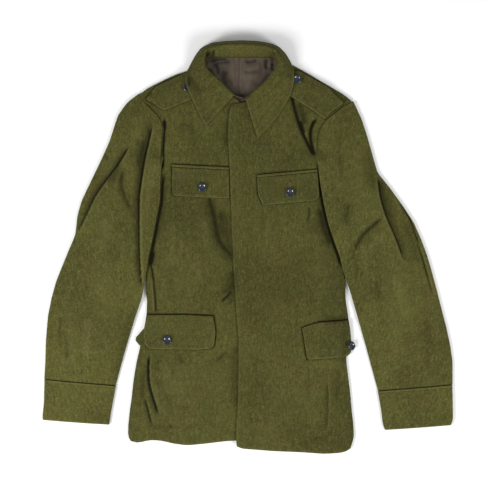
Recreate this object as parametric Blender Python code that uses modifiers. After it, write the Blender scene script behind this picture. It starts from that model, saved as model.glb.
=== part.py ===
"""Military jacket of heavy olive wool, laid flat and face up.

The script builds each cut piece as its own solid, in metres, with +Z up.
The origin is at the middle of the garment's box, on the surface it lies on.
+X is the viewer's right (the wearer's left) and +Y points to the collar.
"""
import math

import bmesh
import bpy
from mathutils import Matrix, Vector
from mathutils.bvhtree import BVHTree

# Driving sizes, in millimetres
CLOTH = 1.8              # felted wool, one layer
LINING = 1.0             # cotton lining
COLLAR_CLOTH = 2.4       # upper and under collar pressed together
CUFF_CLOTH = 2.4         # band over the end of the sleeve
SEAM_GAP = 0.3           # clearance between sewn pieces
REST_GAP = 0.4           # clearance of a piece that lies on another
FRONT_SEAT = CLOTH + SEAM_GAP
FRONT_RISE = 3.5         # the fronts stand this far off the back
RISE_WIDTH = 45.0        # reached this far in from the side
LAP_RISE = 2.6           # the closing front climbs over the other one
LAP_FLAT = 12.0
LAP_SLOPE = 30.0
UNDER_LAP_DROP = 2.7     # the other front is pressed down under the lap
HEM_START = -290.0       # the hem's waves fade out above this
APRON_DROP = 3.2         # a flap hangs down this far where it wraps round the side
ARMHOLE_LIFT = 4.0       # the armhole seam holds the fronts up
SLEEVE_EDGE = 3.4        # flattened tube, height at its edge
SLEEVE_ROUND = 1.2
SLEEVE_FILL = 7.5        # extra height along the middle of the sleeve
CUFF_FILL = 4.5
SHELF_FLAT = 6.0         # the sleeve stays up this far past the body's side
SHELF_END = 34.0         # and is down on the surface here
HIP_ROLL = 7.5           # the left side rolls over the pocket
HIP_ROLL_WIDTH = 14.0
ROLL_FRONT = 13.0        # height of the collar's roll at its front ends
ROLL_BACK = 28.0         # and behind the neck
STAND_SEAT = 3.8
LEAF_REACH = 19.0        # the leaf lies on the highest thing this near
LEAF_GAP = 0.9
WELT_WIDTH = 5.0
WELT_CLOTH = 3.2
BUTTON_RADIUS = 8.5
BUTTON_HEIGHT = 4.2
NECK_MIDDLE = (-12.0, 325.0)

MM = 0.001

# Colours, as linear red, green and blue
OLIVE = (0.092, 0.092, 0.032)
BROWN = (0.107, 0.072, 0.051)
NAVY = (0.010, 0.013, 0.023)

# Each front: y, x of the inner edge, x of the outer edge, in mm, from the shoulder to the hem
FRONT_RIGHT = [
    (333, -77.5, -116), (325, -69, -141), (311, -54, -170), (300, -42.5, -192),
    (290, -32, -204), (282, -25, -215), (276, -15, -197), (266, -13, -184),
    (245, -13, -165), (226, -13, -159), (203, -13, -160), (165, -13, -162),
    (127, -11, -165), (98, -10, -174), (79, -9, -182), (41, -7, -186),
    (-6, -5, -190), (-54, -2, -193), (-82, 1, -194), (-103, 3, -191),
    (-129, 4, -192), (-168, 7, -199), (-189, 8, -204), (-219, 8, -211),
    (-255, 7, -217), (-284, 6, -220), (-313, 5, -224), (-342, 4, -227),
    (-361, 4, -227), (-369, 3, -223),
]
FRONT_LEFT = [
    (344, 62, 87), (331, 53, 111), (315, 40, 138), (300, 25, 164), (288, 11, 184),
    (276, 0, 199), (272, -27, 188), (266, -32, 177), (254, -35, 163),
    (242, -36, 147), (228, -37, 138), (211, -37, 132), (184, -36, 131),
    (146, -34, 134), (108, -33, 142), (76, -31, 162), (32, -30, 172),
    (-6, -28, 177), (-44, -27, 183), (-67, -25, 186), (-101, -23, 186),
    (-138, -20, 192), (-177, -17, 190), (-214, -17, 187), (-269, -18, 194),
    (-313, -19, 198), (-342, -21, 201), (-367, -22, 202), (-384, -21, 196),
]
# Hems, from the viewer's left to right: x and y
HEM_RIGHT = [
    (-226, -367), (-211, -373), (-185, -367), (-165, -368), (-139, -374), (-115, -377),
    (-82, -374), (-40, -369), (4, -367),
]
HEM_LEFT = [
    (-22, -377), (-14, -383), (49, -388), (100, -390), (145, -393.2), (178, -391.5), (194, -386),
    (202, -374),
]
# Back, above the armholes: y, x of the right shoulder, x of the left shoulder
BACK_SHOULDERS = [
    (355, -79, 60), (344, -98, 78), (336, -109, 93), (325, -140, 121),
    (311, -169, 144), (300, -191, 164), (284, -213, 187),
]

# Each sleeve: y and x of the inner edge, y and x of the outer edge, down to the cuff
# Its first rows follow the armhole, where the sleeve is open to the body
SLEEVE_RIGHT = [
    (282, -215, 281, -219), (276, -197, 272, -230), (266, -184, 263, -237),
    (245, -165, 250, -246), (226, -159, 229, -253), (203, -160, 201, -262),
    (165, -162, 165, -278), (127, -165, 132, -294), (87, -166, 88, -315),
    (59, -172, 60, -323), (21, -179, 23, -327), (-16, -187, -17, -344),
    (-61, -194, -64, -363), (-95, -200, -96, -372), (-137, -214, -131, -379),
    (-183, -228, -179, -383), (-222, -239, -218, -384), (-263, -250, -251, -386),
]
SLEEVE_LEFT = [
    (276, 199, 276, 201), (272, 188, 271, 203), (266, 177, 265, 206),
    (254, 163, 254, 211), (242, 147, 241, 217), (228, 138, 228, 221),
    (211, 132, 210, 227), (184, 131, 182, 235), (146, 134, 142, 246),
    (116, 138, 112, 270), (83, 144, 79, 294), (47, 152, 47, 315), (13, 163, 13, 330),
    (-17, 174, -17, 341), (-52, 183, -48, 350), (-84, 194, -82, 359),
    (-122, 205, -121, 369), (-160, 216, -156, 378), (-188, 224, -189, 385),
    (-218, 232, -218, 389), (-273, 247, -261, 389),
]
CUFF_RIGHT = [(-263, -250, -251, -386), (-306, -258, -297, -387), (-331, -262, -322, -390), (-337, -263, -328, -389)]
CUFF_LEFT = [(-273, 247, -261, 389), (-306, 253, -308, 390), (-337, 257, -328, 390), (-347, 261, -338, 386)]

# Collar sections, from the right tip round the neck: outer edge x, y, then roll x, y
COLLAR = [
    (-80, 228, -27, 286), (-92, 251, -36, 294), (-104, 277, -46, 304),
    (-113, 297, -57, 315), (-118, 313, -68, 325), (-117, 328, -77, 333),
    (-108, 345, -83, 343), (-99, 361, -85, 357), (-88, 376, -81, 370),
    (-68, 385.5, -68, 379), (-43, 389, -42, 381), (-10, 390.2, -11, 381.5),
    (18, 389, 16, 381), (40, 385.5, 36, 379), (58, 379, 51, 373), (70, 367, 59, 363),
    (80, 351, 61, 352), (88, 334, 58, 342), (89, 315, 51, 331), (83, 292, 41, 318),
    (72, 270, 28, 304), (59, 250, 15, 293), (38, 225, 5, 284), (19, 205, -3, 277),
]
# The stand closes across the throat: roll x, y and height
STAND_THROAT = [(-9.5, 281, 8.5), (-18, 283, 10)]

# Outlines of what lies on the fronts, anticlockwise, x and y
STRAP_RIGHT = [(-100, 331), (-117, 331), (-173, 305), (-195, 280), (-158, 259), (-90, 287)]
STRAP_LEFT = [(70, 300), (146, 245), (181, 275), (151, 304), (98, 334), (76, 334)]
BREAST_FLAP_RIGHT = [
    (-143, 101), (-139, 96.5), (-42, 92), (-38.5, 95), (-38.5, 146), (-144, 151.5),
]
BREAST_FLAP_LEFT = [
    (20, 99), (28, 79), (128, 88), (136, 94), (133, 142), (18, 131.5), (18, 128),
]
HIP_FLAP_RIGHT = [
    (-212, -172), (-204, -190), (-197, -194), (-90, -195), (-70, -193), (-63.5, -187),
    (-61, -162), (-65, -131), (-191, -129.5),
]
HIP_FLAP_LEFT = [
    (103, -154), (107, -175), (113, -214.5), (187, -209), (195, -203), (198, -194),
    (195, -158), (192, -139), (135, -143),
]
# Buttons: name, what it is sewn through, x, y and tilt towards +X in degrees
BUTTONS = [
    ("button_strap_right", "strap_right", -113, 303, -4),
    ("button_strap_left", "strap_left", 93, 318, 4),
    ("button_breast_right", "flap_breast_right", -86, 113, 0),
    ("button_breast_left", "flap_breast_left", 81, 103, 0),
    ("button_hip_right", "flap_hip_right", -153, -177, 0),
    ("button_hip_left", "flap_hip_left", 190, -188, 42),
]

# Largest folds: x and y of both ends, half width and depth; a negative depth is a ridge
BODY_FOLDS = [
    (-50, 193, -66, 93, 13, 1.7), (-66, 93, -30, -19, 14, 1.7),
    (-150, 60, -120, -90, 22, -1.6), (-190, -205, -171, -290, 13, 1.5),
    (-120, -215, -140, -350, 20, -1.4), (60, -20, 90, -120, 24, 1.4),
    (120, 40, 150, -90, 20, -1.6), (40, -230, 60, -350, 24, -1.3),
    (120, -240, 140, -360, 18, 1.3), (-100, 240, -80, 180, 18, 1.2),
]
SLEEVE_FOLDS = [
    (-205, 235, -190, 110, 13, 2.6), (-232, 215, -225, 60, 14, -2.2),
    (-262, 160, -215, 20, 14, 3.0), (-300, 40, -225, -30, 15, 2.6),
    (-330, -60, -250, -140, 16, 2.0), (-300, -190, -330, -240, 18, 1.6),
    (180, 240, 178, 110, 13, 2.4), (212, 190, 225, 60, 14, -2.2),
    (250, 110, 215, 10, 14, 3.0), (300, 50, 235, -40, 15, 2.6),
    (330, -50, 262, -150, 16, 2.2), (300, -180, 340, -245, 18, 1.6),
]


def smooth(start, end, value):
    """Ease from 0 at start to 1 at end."""
    step = min(1.0, max(0.0, (value - start) / (end - start)))
    return step * step * (3.0 - 2.0 * step)


def read_line(rows, column, y):
    """Read one column of a table of falling y values at the height y."""
    if y >= rows[0][0]:
        return rows[0][column]
    for upper, lower in zip(rows, rows[1:]):
        if y >= lower[0]:
            share = (upper[0] - y) / (upper[0] - lower[0])
            return upper[column] + (lower[column] - upper[column]) * share
    return rows[-1][column]


def folds_at(folds, x, y):
    """Add up the folds' heights at a point, each fading past its ends."""
    height = 0.0
    for x0, y0, x1, y1, half_width, depth in folds:
        run = Vector((x1 - x0, y1 - y0))
        offset = Vector((x - x0, y - y0))
        along = min(1.0, max(0.0, offset.dot(run) / run.length_squared))
        away = (offset - run * along).length
        height -= depth * math.exp(-(away / half_width) ** 2)
    return height


def armhole_lift(y):
    """Height that the armhole seam adds."""
    return ARMHOLE_LIFT * smooth(284, 250, y) * smooth(112, 160, y)


def front_under(x, y, rows):
    """Height of the underside of a front at a point."""
    side = read_line(rows, 2, y)
    inward = abs(side - x) if (x - side) * side < 0 else 0.0
    height = FRONT_SEAT + FRONT_RISE * smooth(0, RISE_WIDTH, inward)
    height += armhole_lift(y) * (1.0 - smooth(0, 70, inward))
    height += folds_at(BODY_FOLDS, x, y) * smooth(12, 40, inward)
    if side > 0:
        lap = 1.0 - smooth(LAP_FLAT, LAP_FLAT + LAP_SLOPE, x - read_line(rows, 1, y))
        height += LAP_RISE * lap * smooth(284, 262, y)
        hip = smooth(-128, -150, y) * smooth(-232, -214, y)
        height += HIP_ROLL * hip * smooth(0, HIP_ROLL_WIDTH, inward) * (1.0 - smooth(30, 75, inward))
    else:
        height -= UNDER_LAP_DROP * (1.0 - smooth(0, 40, read_line(rows, 1, y) - x)) * smooth(284, 262, y)
    return height


def hem_drop(x, y, rows):
    """How far a point near the hem lies below its row, so that the last row follows the hem."""
    hem = HEM_LEFT if rows is FRONT_LEFT else HEM_RIGHT
    for (x0, y0), (x1, y1) in zip(hem, hem[1:]):
        if x <= x1 or (x1, y1) == hem[-1]:
            share = max(0.0, min(1.0, (x - x0) / (x1 - x0)))
            break
    last = rows[-1][0]
    return (y0 + (y1 - y0) * share - last) * smooth(HEM_START, last, y)


def sleeve_floor(x, y, rows):
    """Height of the underside of a sleeve, which climbs over the body's side."""
    side = read_line(rows, 2, y)
    outward = (x - side) * (1 if side > 0 else -1)
    body_top = front_under(side if outward > 0 else x, y, rows) + CLOTH
    climb = 1.0 - smooth(SHELF_FLAT, SHELF_END, outward)
    return (body_top + REST_GAP + SEAM_GAP) * climb * smooth(190, 152, y)


def make_material(name, colour, roughness, metallic=0.0):
    """Make a Principled material."""
    material = bpy.data.materials.new(name)
    material.use_nodes = True
    shader = material.node_tree.nodes["Principled BSDF"]
    shader.inputs["Base Color"].default_value = (*colour, 1.0)
    shader.inputs["Roughness"].default_value = roughness
    shader.inputs["Metallic"].default_value = metallic
    return material


def add_object(name, mesh_data, material, collection):
    """Turn a bmesh into a named object with one material."""
    mesh = bpy.data.meshes.new(name)
    bmesh.ops.recalc_face_normals(mesh_data, faces=mesh_data.faces)
    mesh_data.to_mesh(mesh)
    mesh_data.free()
    mesh.materials.append(material)
    piece = bpy.data.objects.new(name, mesh)
    collection.objects.link(piece)
    return piece


def grid_surface(points):
    """Make an open surface from rows of points in millimetres."""
    surface = bmesh.new()
    rows = [[surface.verts.new(Vector(point) * MM) for point in row] for row in points]
    for upper, lower in zip(rows, rows[1:]):
        for index in range(len(upper) - 1):
            surface.faces.new((upper[index], lower[index], lower[index + 1], upper[index + 1]))
    bmesh.ops.triangulate(surface, faces=surface.faces, quad_method="FIXED")
    return surface


def thicken(surface, wall):
    """Extrude an open surface straight up by the wall."""
    grown = bmesh.ops.extrude_face_region(surface, geom=surface.faces[:])
    raised = [item for item in grown["geom"] if isinstance(item, bmesh.types.BMVert)]
    bmesh.ops.translate(surface, verts=raised, vec=(0, 0, wall * MM))


def front_points(rows, apron=0.0):
    """Points of a front's underside, with a strip past its side if an apron is asked for."""
    across = [0.0, 4.5, 10.0, 19.0, 32.0]
    inner_shares = [0.0, 0.08, 0.2, 0.36, 0.55, 0.78, 1.0]
    points = []
    for y, edge, side in rows:
        to_edge = 1.0 if edge > side else -1.0
        width = abs(edge - side)
        scale = min(1.0, width / 110.0)
        offsets = [step * scale for step in across]
        rest = width - offsets[-1]
        offsets += [offsets[-1] + rest * (1.0 - share) for share in reversed(inner_shares[:-1])]
        line = []
        for offset in offsets:
            x = side + to_edge * offset
            line.append((x, y + hem_drop(x, y, rows), front_under(x, y, rows)))
        if apron:
            x = side - to_edge * apron
            line.insert(0, (x, y, line[0][2] - APRON_DROP))
        points.append(line)
    return points


def make_front(name, rows, material, collection):
    """Build one front as a wall of cloth that lies on the back."""
    surface = grid_surface(front_points(rows))
    thicken(surface, CLOTH)
    return add_object(name, surface, material, collection)


def make_back(material, collection):
    """Build the back as one flat panel with the fronts' outline."""
    below = sorted({row[0] for row in FRONT_RIGHT + FRONT_LEFT if row[0] < 284}, reverse=True)
    rows = list(BACK_SHOULDERS)
    rows += [(y, read_line(FRONT_RIGHT, 2, y), read_line(FRONT_LEFT, 2, y)) for y in below if y >= -361]
    points = []
    for y, right, left in rows:
        middle = (right + left) / 2
        points.append([(x, y, 0.0) for x in (right, middle, left)])
    surface = grid_surface(points)
    thicken(surface, CLOTH)
    return add_object("back", surface, material, collection)


def make_lining(material, collection):
    """Build the part of the back lining that shows inside the neck."""
    points = []
    for y, right, left in [(354, -78, 58), (340, -86, 64), (315, -70, 52), (290, -42, 30), (268, -30, 14)]:
        middle = (right + left) / 2
        points.append([(x, y, CLOTH + SEAM_GAP) for x in (right, middle, left)])
    surface = grid_surface(points)
    thicken(surface, LINING)
    return add_object("lining_back", surface, material, collection)


def tube_section(inner, outer, body_rows, wall, fill, opened, folds):
    """Outer and inner points of one flattened section, from its inner edge round to it again."""
    start = Vector(inner)
    run = Vector(outer) - start
    width = run.length
    run.normalize()
    low_shares = [0.0, 0.07, 0.14, 0.22, 0.32, 0.5, 0.75, 1.0]
    high_shares = [0.0, 0.035, 0.1, 0.2, 0.32, 0.45, 0.58, 0.71, 0.83, 0.93, 0.97, 1.0]
    outside = []
    inside = []

    def place(offset, rise, store):
        spot = start + run * offset
        store.append((spot.x, spot.y, sleeve_floor(spot.x, spot.y, body_rows) + rise))

    def crown(offset):
        edge_distance = min(offset, width - offset)
        if opened:
            edge_distance = width - offset
        height = SLEEVE_EDGE + (wall - CLOTH) * 2 + SLEEVE_ROUND * smooth(0, 5, edge_distance)
        height += fill * smooth(0, 50, edge_distance) * smooth(10, 90, width)
        spot = start + run * offset
        height += folds_at(folds, spot.x, spot.y) * smooth(8, 30, edge_distance)
        if opened:
            seam = FRONT_SEAT + CLOTH + armhole_lift(spot.y) - sleeve_floor(spot.x, spot.y, body_rows)
            seam = max(seam, SLEEVE_EDGE)
            height += (seam - height) * (1.0 - smooth(0, min(55.0, width), offset))
        return height

    inset = wall + 0.5
    near = 0.0 if opened else inset
    for share in low_shares:
        offset = share * width
        place(offset, 0.0, outside)
        place(min(width - inset, max(near, offset)) if width > 2 * inset else offset, wall, inside)
    for share in reversed(high_shares):
        offset = share * width
        place(offset, crown(offset), outside)
        held = min(width - inset, max(near, offset)) if width > 2 * inset else offset
        place(held, max(crown(held) - wall, wall + SEAM_GAP), inside)
    return outside, inside


def make_tube(name, rows, body_rows, wall, fill, open_rows, folds, material, collection, shift=(0.0, 0.0)):
    """Build a flattened tube; its first open_rows sections are open at their inner edge."""
    rings = []
    for index, (inner_y, inner_x, outer_y, outer_x) in enumerate(rows):
        inner = (inner_x + shift[0], inner_y + shift[1])
        outer = (outer_x + (shift[0] if index < open_rows else 0.0), outer_y + shift[1])
        rings.append(tube_section(inner, outer, body_rows, wall, fill, index < open_rows, folds))
    tube = bmesh.new()
    skins = []
    for side in (0, 1):
        skins.append([[tube.verts.new(Vector(point) * MM) for point in ring[side]] for ring in rings])
    last = len(skins[0][0]) - 1
    for skin in skins:
        for index, (upper, lower) in enumerate(zip(skin, skin[1:])):
            for step in range(last):
                tube.faces.new((upper[step], upper[step + 1], lower[step + 1], lower[step]))
            if index >= open_rows:
                tube.faces.new((upper[last], upper[0], lower[0], lower[last]))
    outer_skin, inner_skin = skins
    for row in (0, len(rings) - 1):
        for step in range(last):
            tube.faces.new((outer_skin[row][step], outer_skin[row][step + 1],
                            inner_skin[row][step + 1], inner_skin[row][step]))
    for row in {0 if open_rows == 0 else open_rows, len(rings) - 1}:
        tube.faces.new((outer_skin[row][last], outer_skin[row][0], inner_skin[row][0], inner_skin[row][last]))
    for row in range(open_rows):
        for step in (0, last):
            tube.faces.new((outer_skin[row][step], outer_skin[row + 1][step],
                            inner_skin[row + 1][step], inner_skin[row][step]))
    return add_object(name, tube, material, collection)


def cut_from_front(name, outline, rows, wall, lift, material, collection, apron=0.0):
    """Cut an outline out of a front's surface, move it out and thicken it."""
    surface = grid_surface(front_points(rows, apron))
    for (x0, y0), (x1, y1) in zip(outline, outline[1:] + outline[:1]):
        geometry = surface.verts[:] + surface.edges[:] + surface.faces[:]
        bmesh.ops.bisect_plane(
            surface, geom=geometry, dist=1e-6, plane_co=(x0 * MM, y0 * MM, 0.0),
            plane_no=(y1 - y0, x0 - x1, 0.0), clear_outer=True)
    bmesh.ops.remove_doubles(surface, verts=surface.verts, dist=0.0004)
    bmesh.ops.dissolve_degenerate(surface, edges=surface.edges, dist=0.0002)
    bmesh.ops.translate(surface, verts=surface.verts, vec=(0, 0, lift * MM))
    thicken(surface, wall)
    bmesh.ops.triangulate(surface, faces=surface.faces)
    return add_object(name, surface, material, collection)


def surface_tree(pieces):
    """One search tree over the pieces' surfaces."""
    vertices = []
    faces = []
    for piece in pieces:
        first = len(vertices)
        vertices += [vertex.co.copy() for vertex in piece.data.vertices]
        faces += [[first + index for index in face.vertices] for face in piece.data.polygons]
    return BVHTree.FromPolygons(vertices, faces)


def top_under(tree, x, y, reach):
    """Height of the highest surface within reach of a point, in millimetres."""
    best = 0.0
    spots = [(0.0, 0.0)]
    for ring in (0.35, 0.7, 1.0):
        for step in range(10):
            turn = math.tau * step / 10
            spots.append((ring * reach * math.cos(turn), ring * reach * math.sin(turn)))
    for dx, dy in spots:
        hit = tree.ray_cast(Vector(((x + dx) * MM, (y + dy) * MM, 0.2)), Vector((0, 0, -1)))
        if hit[0] is not None:
            best = max(best, hit[0].z / MM)
    return best


def make_button(name, carrier, x, y, tilt, material, collection):
    """Turn a dished button and seat it on its carrier along its tilted axis."""
    top = BUTTON_HEIGHT
    radius = BUTTON_RADIUS
    profile = [
        (0.0, top - 1.5), (0.42 * radius, top - 1.5), (0.62 * radius, top - 1.0),
        (0.8 * radius, top), (0.94 * radius, top - 0.4), (radius, 0.55 * top),
        (0.86 * radius, 0.3), (0.4 * radius, 0.0), (0.0, 0.0),
    ]
    disc = bmesh.new()
    vertices = [disc.verts.new((reach * MM, 0, height * MM)) for reach, height in profile]
    for first, second in zip(vertices, vertices[1:]):
        disc.edges.new((first, second))
    button = add_object(name, disc, material, collection)
    screw = button.modifiers.new("turn", "SCREW")
    screw.steps = 20
    screw.render_steps = 20
    screw.use_merge_vertices = True
    screw.merge_threshold = 0.00005
    turn = Matrix.Rotation(math.radians(tilt), 4, "Y")
    axis = (turn @ Vector((0, 0, 1))).normalized()
    tree = surface_tree([carrier])
    start = Vector((x * MM, y * MM, 0.0)) + axis * 0.05
    room = 1.0
    for step in range(16):
        for share in (0.4, 0.86, 1.0):
            height = 0.0 if share < 0.9 else 0.45 * top
            around = math.tau * step / 16
            rim = Vector((share * radius * math.cos(around), share * radius * math.sin(around), height)) * MM
            hit = tree.ray_cast(start + turn @ rim, -axis)
            if hit[0] is not None:
                room = min(room, hit[3])
    place = start - axis * (room - REST_GAP * MM)
    button.matrix_world = Matrix.Translation(place) @ turn
    return button


def solid_copy(button):
    """A finished mesh of a button in world space, for what lies over it."""
    graph = bpy.context.evaluated_depsgraph_get()
    mesh = bpy.data.meshes.new_from_object(button.evaluated_get(graph))
    mesh.transform(button.matrix_world)
    stand_in = bpy.data.objects.new("over_" + button.name, mesh)
    return stand_in


def roll_height(index):
    """Height of the collar's roll at a section."""
    return ROLL_FRONT + (ROLL_BACK - ROLL_FRONT) * math.sin(math.pi * index / (len(COLLAR) - 1)) ** 1.3


def make_collar_leaf(tree, material, collection):
    """Build the fall of the collar, from its outer edge up to the roll."""
    shares = [0.0, 0.15, 0.35, 0.6, 0.82, 1.0]
    points = []
    for index, (outer_x, outer_y, roll_x, roll_y) in enumerate(COLLAR):
        roll = roll_height(index)
        low = 1.6 if outer_y > 360 else 6.0
        row = []
        for share in shares:
            x = outer_x + (roll_x - outer_x) * share
            y = outer_y + (roll_y - outer_y) * share
            height = low + (roll - low) * math.sin(share * math.pi / 2) ** 1.1
            row.append((x, y, max(height, top_under(tree, x, y, LEAF_REACH) + LEAF_GAP)))
        points.append(row)
    surface = grid_surface(points)
    bmesh.ops.recalc_face_normals(surface, faces=surface.faces)
    if sum(face.normal.z for face in surface.faces) < 0:
        bmesh.ops.reverse_faces(surface, faces=surface.faces)
    leaf = bpy.data.meshes.new("collar_leaf")
    surface.to_mesh(leaf)
    surface.free()
    leaf.materials.append(material)
    piece = bpy.data.objects.new("collar_leaf", leaf)
    collection.objects.link(piece)
    wall = piece.modifiers.new("wall", "SOLIDIFY")
    wall.thickness = COLLAR_CLOTH * MM
    wall.offset = 1.0
    return piece


def make_collar_stand(material, collection):
    """Build the stand, from the neck seam up to the roll, leaning back behind the neck."""
    rows = [(x, y, top) for x, y, top in STAND_THROAT]
    rows += [(row[2], row[3], roll_height(index) + 1.2) for index, row in enumerate(COLLAR)]
    points = []
    for x, y, top in rows:
        inward = Vector((NECK_MIDDLE[0] - x, NECK_MIDDLE[1] - y)).normalized()
        near = Vector((x, y)) + inward * 0.7
        foot_y = near.y if near.y < 355 else 355 + (near.y - 355) * 0.1
        foot_x = near.x * (1.0 if near.y < 355 else 0.96)
        foot = Vector((foot_x, foot_y))
        row = []
        for share in (0.0, 0.35, 0.7, 1.0):
            spot = foot.lerp(near, share)
            row.append((spot.x, spot.y, STAND_SEAT + (top - STAND_SEAT) * share))
        points.append(row)
    surface = grid_surface(points)
    middle = Vector((NECK_MIDDLE[0] * MM, NECK_MIDDLE[1] * MM, 0.1))
    bmesh.ops.recalc_face_normals(surface, faces=surface.faces)
    facing = sum(face.normal.dot(middle - face.calc_center_median()) for face in surface.faces)
    if facing < 0:
        bmesh.ops.reverse_faces(surface, faces=surface.faces)
    stand = bpy.data.meshes.new("collar_stand")
    surface.to_mesh(stand)
    surface.free()
    stand.materials.append(material)
    piece = bpy.data.objects.new("collar_stand", stand)
    collection.objects.link(piece)
    wall = piece.modifiers.new("wall", "SOLIDIFY")
    wall.thickness = CLOTH * MM
    wall.offset = 1.0
    return piece


def strip_above(top_edge, width):
    """A narrow outline along a flap's straight top edge, anticlockwise."""
    lower = [(x, y + SEAM_GAP) for x, y in top_edge]
    upper = [(x, y + width) for x, y in reversed(top_edge)]
    return lower + upper


def main():
    """Build the jacket."""
    for item in list(bpy.data.objects):
        bpy.data.objects.remove(item)
    parts = bpy.data.collections.new("military_jacket")
    bpy.context.scene.collection.children.link(parts)
    wool = make_material("wool", OLIVE, 0.95)
    cotton = make_material("lining", BROWN, 0.8)
    plastic = make_material("button", NAVY, 0.25)

    make_back(wool, parts)
    make_lining(cotton, parts)
    front_right = make_front("front_right", FRONT_RIGHT, wool, parts)
    front_left = make_front("front_left", FRONT_LEFT, wool, parts)

    make_tube("sleeve_right", SLEEVE_RIGHT, FRONT_RIGHT, CLOTH, SLEEVE_FILL, 8, SLEEVE_FOLDS, wool, parts,
              shift=(-0.45, -0.45))
    make_tube("sleeve_left", SLEEVE_LEFT, FRONT_LEFT, CLOTH, SLEEVE_FILL, 9, SLEEVE_FOLDS, wool, parts,
              shift=(0.45, -0.45))
    make_tube("cuff_right", CUFF_RIGHT, FRONT_RIGHT, CUFF_CLOTH, CUFF_FILL, 0, SLEEVE_FOLDS, wool, parts,
              shift=(-0.05, -0.95))
    make_tube("cuff_left", CUFF_LEFT, FRONT_LEFT, CUFF_CLOTH, CUFF_FILL, 0, SLEEVE_FOLDS, wool, parts,
              shift=(0.05, -0.95))

    lift = CLOTH + REST_GAP
    carriers = {}
    carriers["strap_right"] = cut_from_front("strap_right", STRAP_RIGHT, FRONT_RIGHT, 2.2, lift, wool, parts)
    carriers["strap_left"] = cut_from_front("strap_left", STRAP_LEFT, FRONT_LEFT, 2.2, lift, wool, parts)
    flaps = [
        ("flap_breast_right", BREAST_FLAP_RIGHT, FRONT_RIGHT, 0.0),
        ("flap_breast_left", BREAST_FLAP_LEFT, FRONT_LEFT, 0.0),
        ("flap_hip_right", HIP_FLAP_RIGHT, FRONT_RIGHT, 16.0),
        ("flap_hip_left", HIP_FLAP_LEFT, FRONT_LEFT, 14.0),
    ]
    for name, outline, rows, apron in flaps:
        carriers[name] = cut_from_front(name, outline, rows, 2.2, lift, wool, parts, apron)
    welts = [
        ("welt_breast_right", [(-144, 151.5), (-38.5, 146)], FRONT_RIGHT),
        ("welt_breast_left", [(18, 131.5), (132.5, 142)], FRONT_LEFT),
    ]
    for name, top_edge, rows in welts:
        cut_from_front(name, strip_above(top_edge, WELT_WIDTH), rows, WELT_CLOTH, lift, wool, parts)

    strap_buttons = []
    for name, carrier, x, y, tilt in BUTTONS:
        button = make_button(name, carriers[carrier], x, y, tilt, plastic, parts)
        if "strap" in name:
            strap_buttons.append(button)
    bpy.context.view_layer.update()
    beneath = [front_right, front_left, carriers["strap_right"], carriers["strap_left"]]
    beneath += [solid_copy(button) for button in strap_buttons]
    make_collar_leaf(surface_tree(beneath), wool, parts)
    make_collar_stand(wool, parts)

    for piece in parts.objects:
        piece.data.shade_smooth()


main()
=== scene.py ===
"""Military jacket of heavy olive wool, laid flat and face up.

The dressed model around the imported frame. Sizes are in millimetres until a mesh is made, with +Z up,
+X to the viewer's right and +Y to the collar. Right and left in names are the wearer's.
"""
import logging
import math
from dataclasses import dataclass, field, replace
from enum import Enum
from typing import Any, Callable, Sequence

import bmesh
import bpy
import numpy as np
from mathutils import Matrix, Vector
from mathutils.bvhtree import BVHTree


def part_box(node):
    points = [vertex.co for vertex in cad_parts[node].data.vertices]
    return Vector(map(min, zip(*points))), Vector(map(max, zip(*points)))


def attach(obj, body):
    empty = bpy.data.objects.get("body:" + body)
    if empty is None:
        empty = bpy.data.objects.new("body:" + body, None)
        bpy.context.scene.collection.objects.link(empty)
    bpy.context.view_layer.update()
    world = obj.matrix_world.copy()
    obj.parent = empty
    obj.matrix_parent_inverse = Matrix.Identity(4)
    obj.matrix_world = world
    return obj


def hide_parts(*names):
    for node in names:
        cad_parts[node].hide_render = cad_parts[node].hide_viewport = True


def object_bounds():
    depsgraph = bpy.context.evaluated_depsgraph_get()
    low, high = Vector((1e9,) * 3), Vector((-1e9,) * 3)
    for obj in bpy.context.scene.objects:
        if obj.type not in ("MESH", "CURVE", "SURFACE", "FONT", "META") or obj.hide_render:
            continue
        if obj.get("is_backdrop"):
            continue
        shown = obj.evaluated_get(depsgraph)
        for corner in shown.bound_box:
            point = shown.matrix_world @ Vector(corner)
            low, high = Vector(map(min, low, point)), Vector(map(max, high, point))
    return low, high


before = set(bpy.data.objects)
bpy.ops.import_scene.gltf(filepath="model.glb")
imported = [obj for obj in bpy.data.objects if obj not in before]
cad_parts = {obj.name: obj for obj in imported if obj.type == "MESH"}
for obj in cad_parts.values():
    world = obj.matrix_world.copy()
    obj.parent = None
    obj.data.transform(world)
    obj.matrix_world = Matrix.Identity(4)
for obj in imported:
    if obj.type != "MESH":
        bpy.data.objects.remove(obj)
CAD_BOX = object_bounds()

Array = np.ndarray
Point = tuple[float, float]
Colour = tuple[float, float, float]

LOG = logging.getLogger("military_jacket")

MM = 0.001
CLOTH = 1.8
LINING = 1.0
FRONT_SEAT = 2.1
FRONT_RISE = 3.5
RISE_WIDTH = 45.0
LAP_RISE = 2.6
LAP_FLAT = 12.0
LAP_SLOPE = 30.0
UNDER_LAP_DROP = 2.7
UNDER_LAP_WIDTH = 40.0
HEM_START = -290.0
ARMHOLE_LIFT = 4.0
APRON_DROP = 3.2
SHELF_FLAT = 6.0
SHELF_END = 34.0
HIP_ROLL = 7.5
SEAM_LOW = 150.0         # below this the sleeve lies on the body instead of being sewn to it
SEAM_HIGH = 188.0
TOPSTITCH = 9.0          # distance of the topstitching from a turned edge
NECK_MIDDLE = (-12.0, 325.0)

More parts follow.
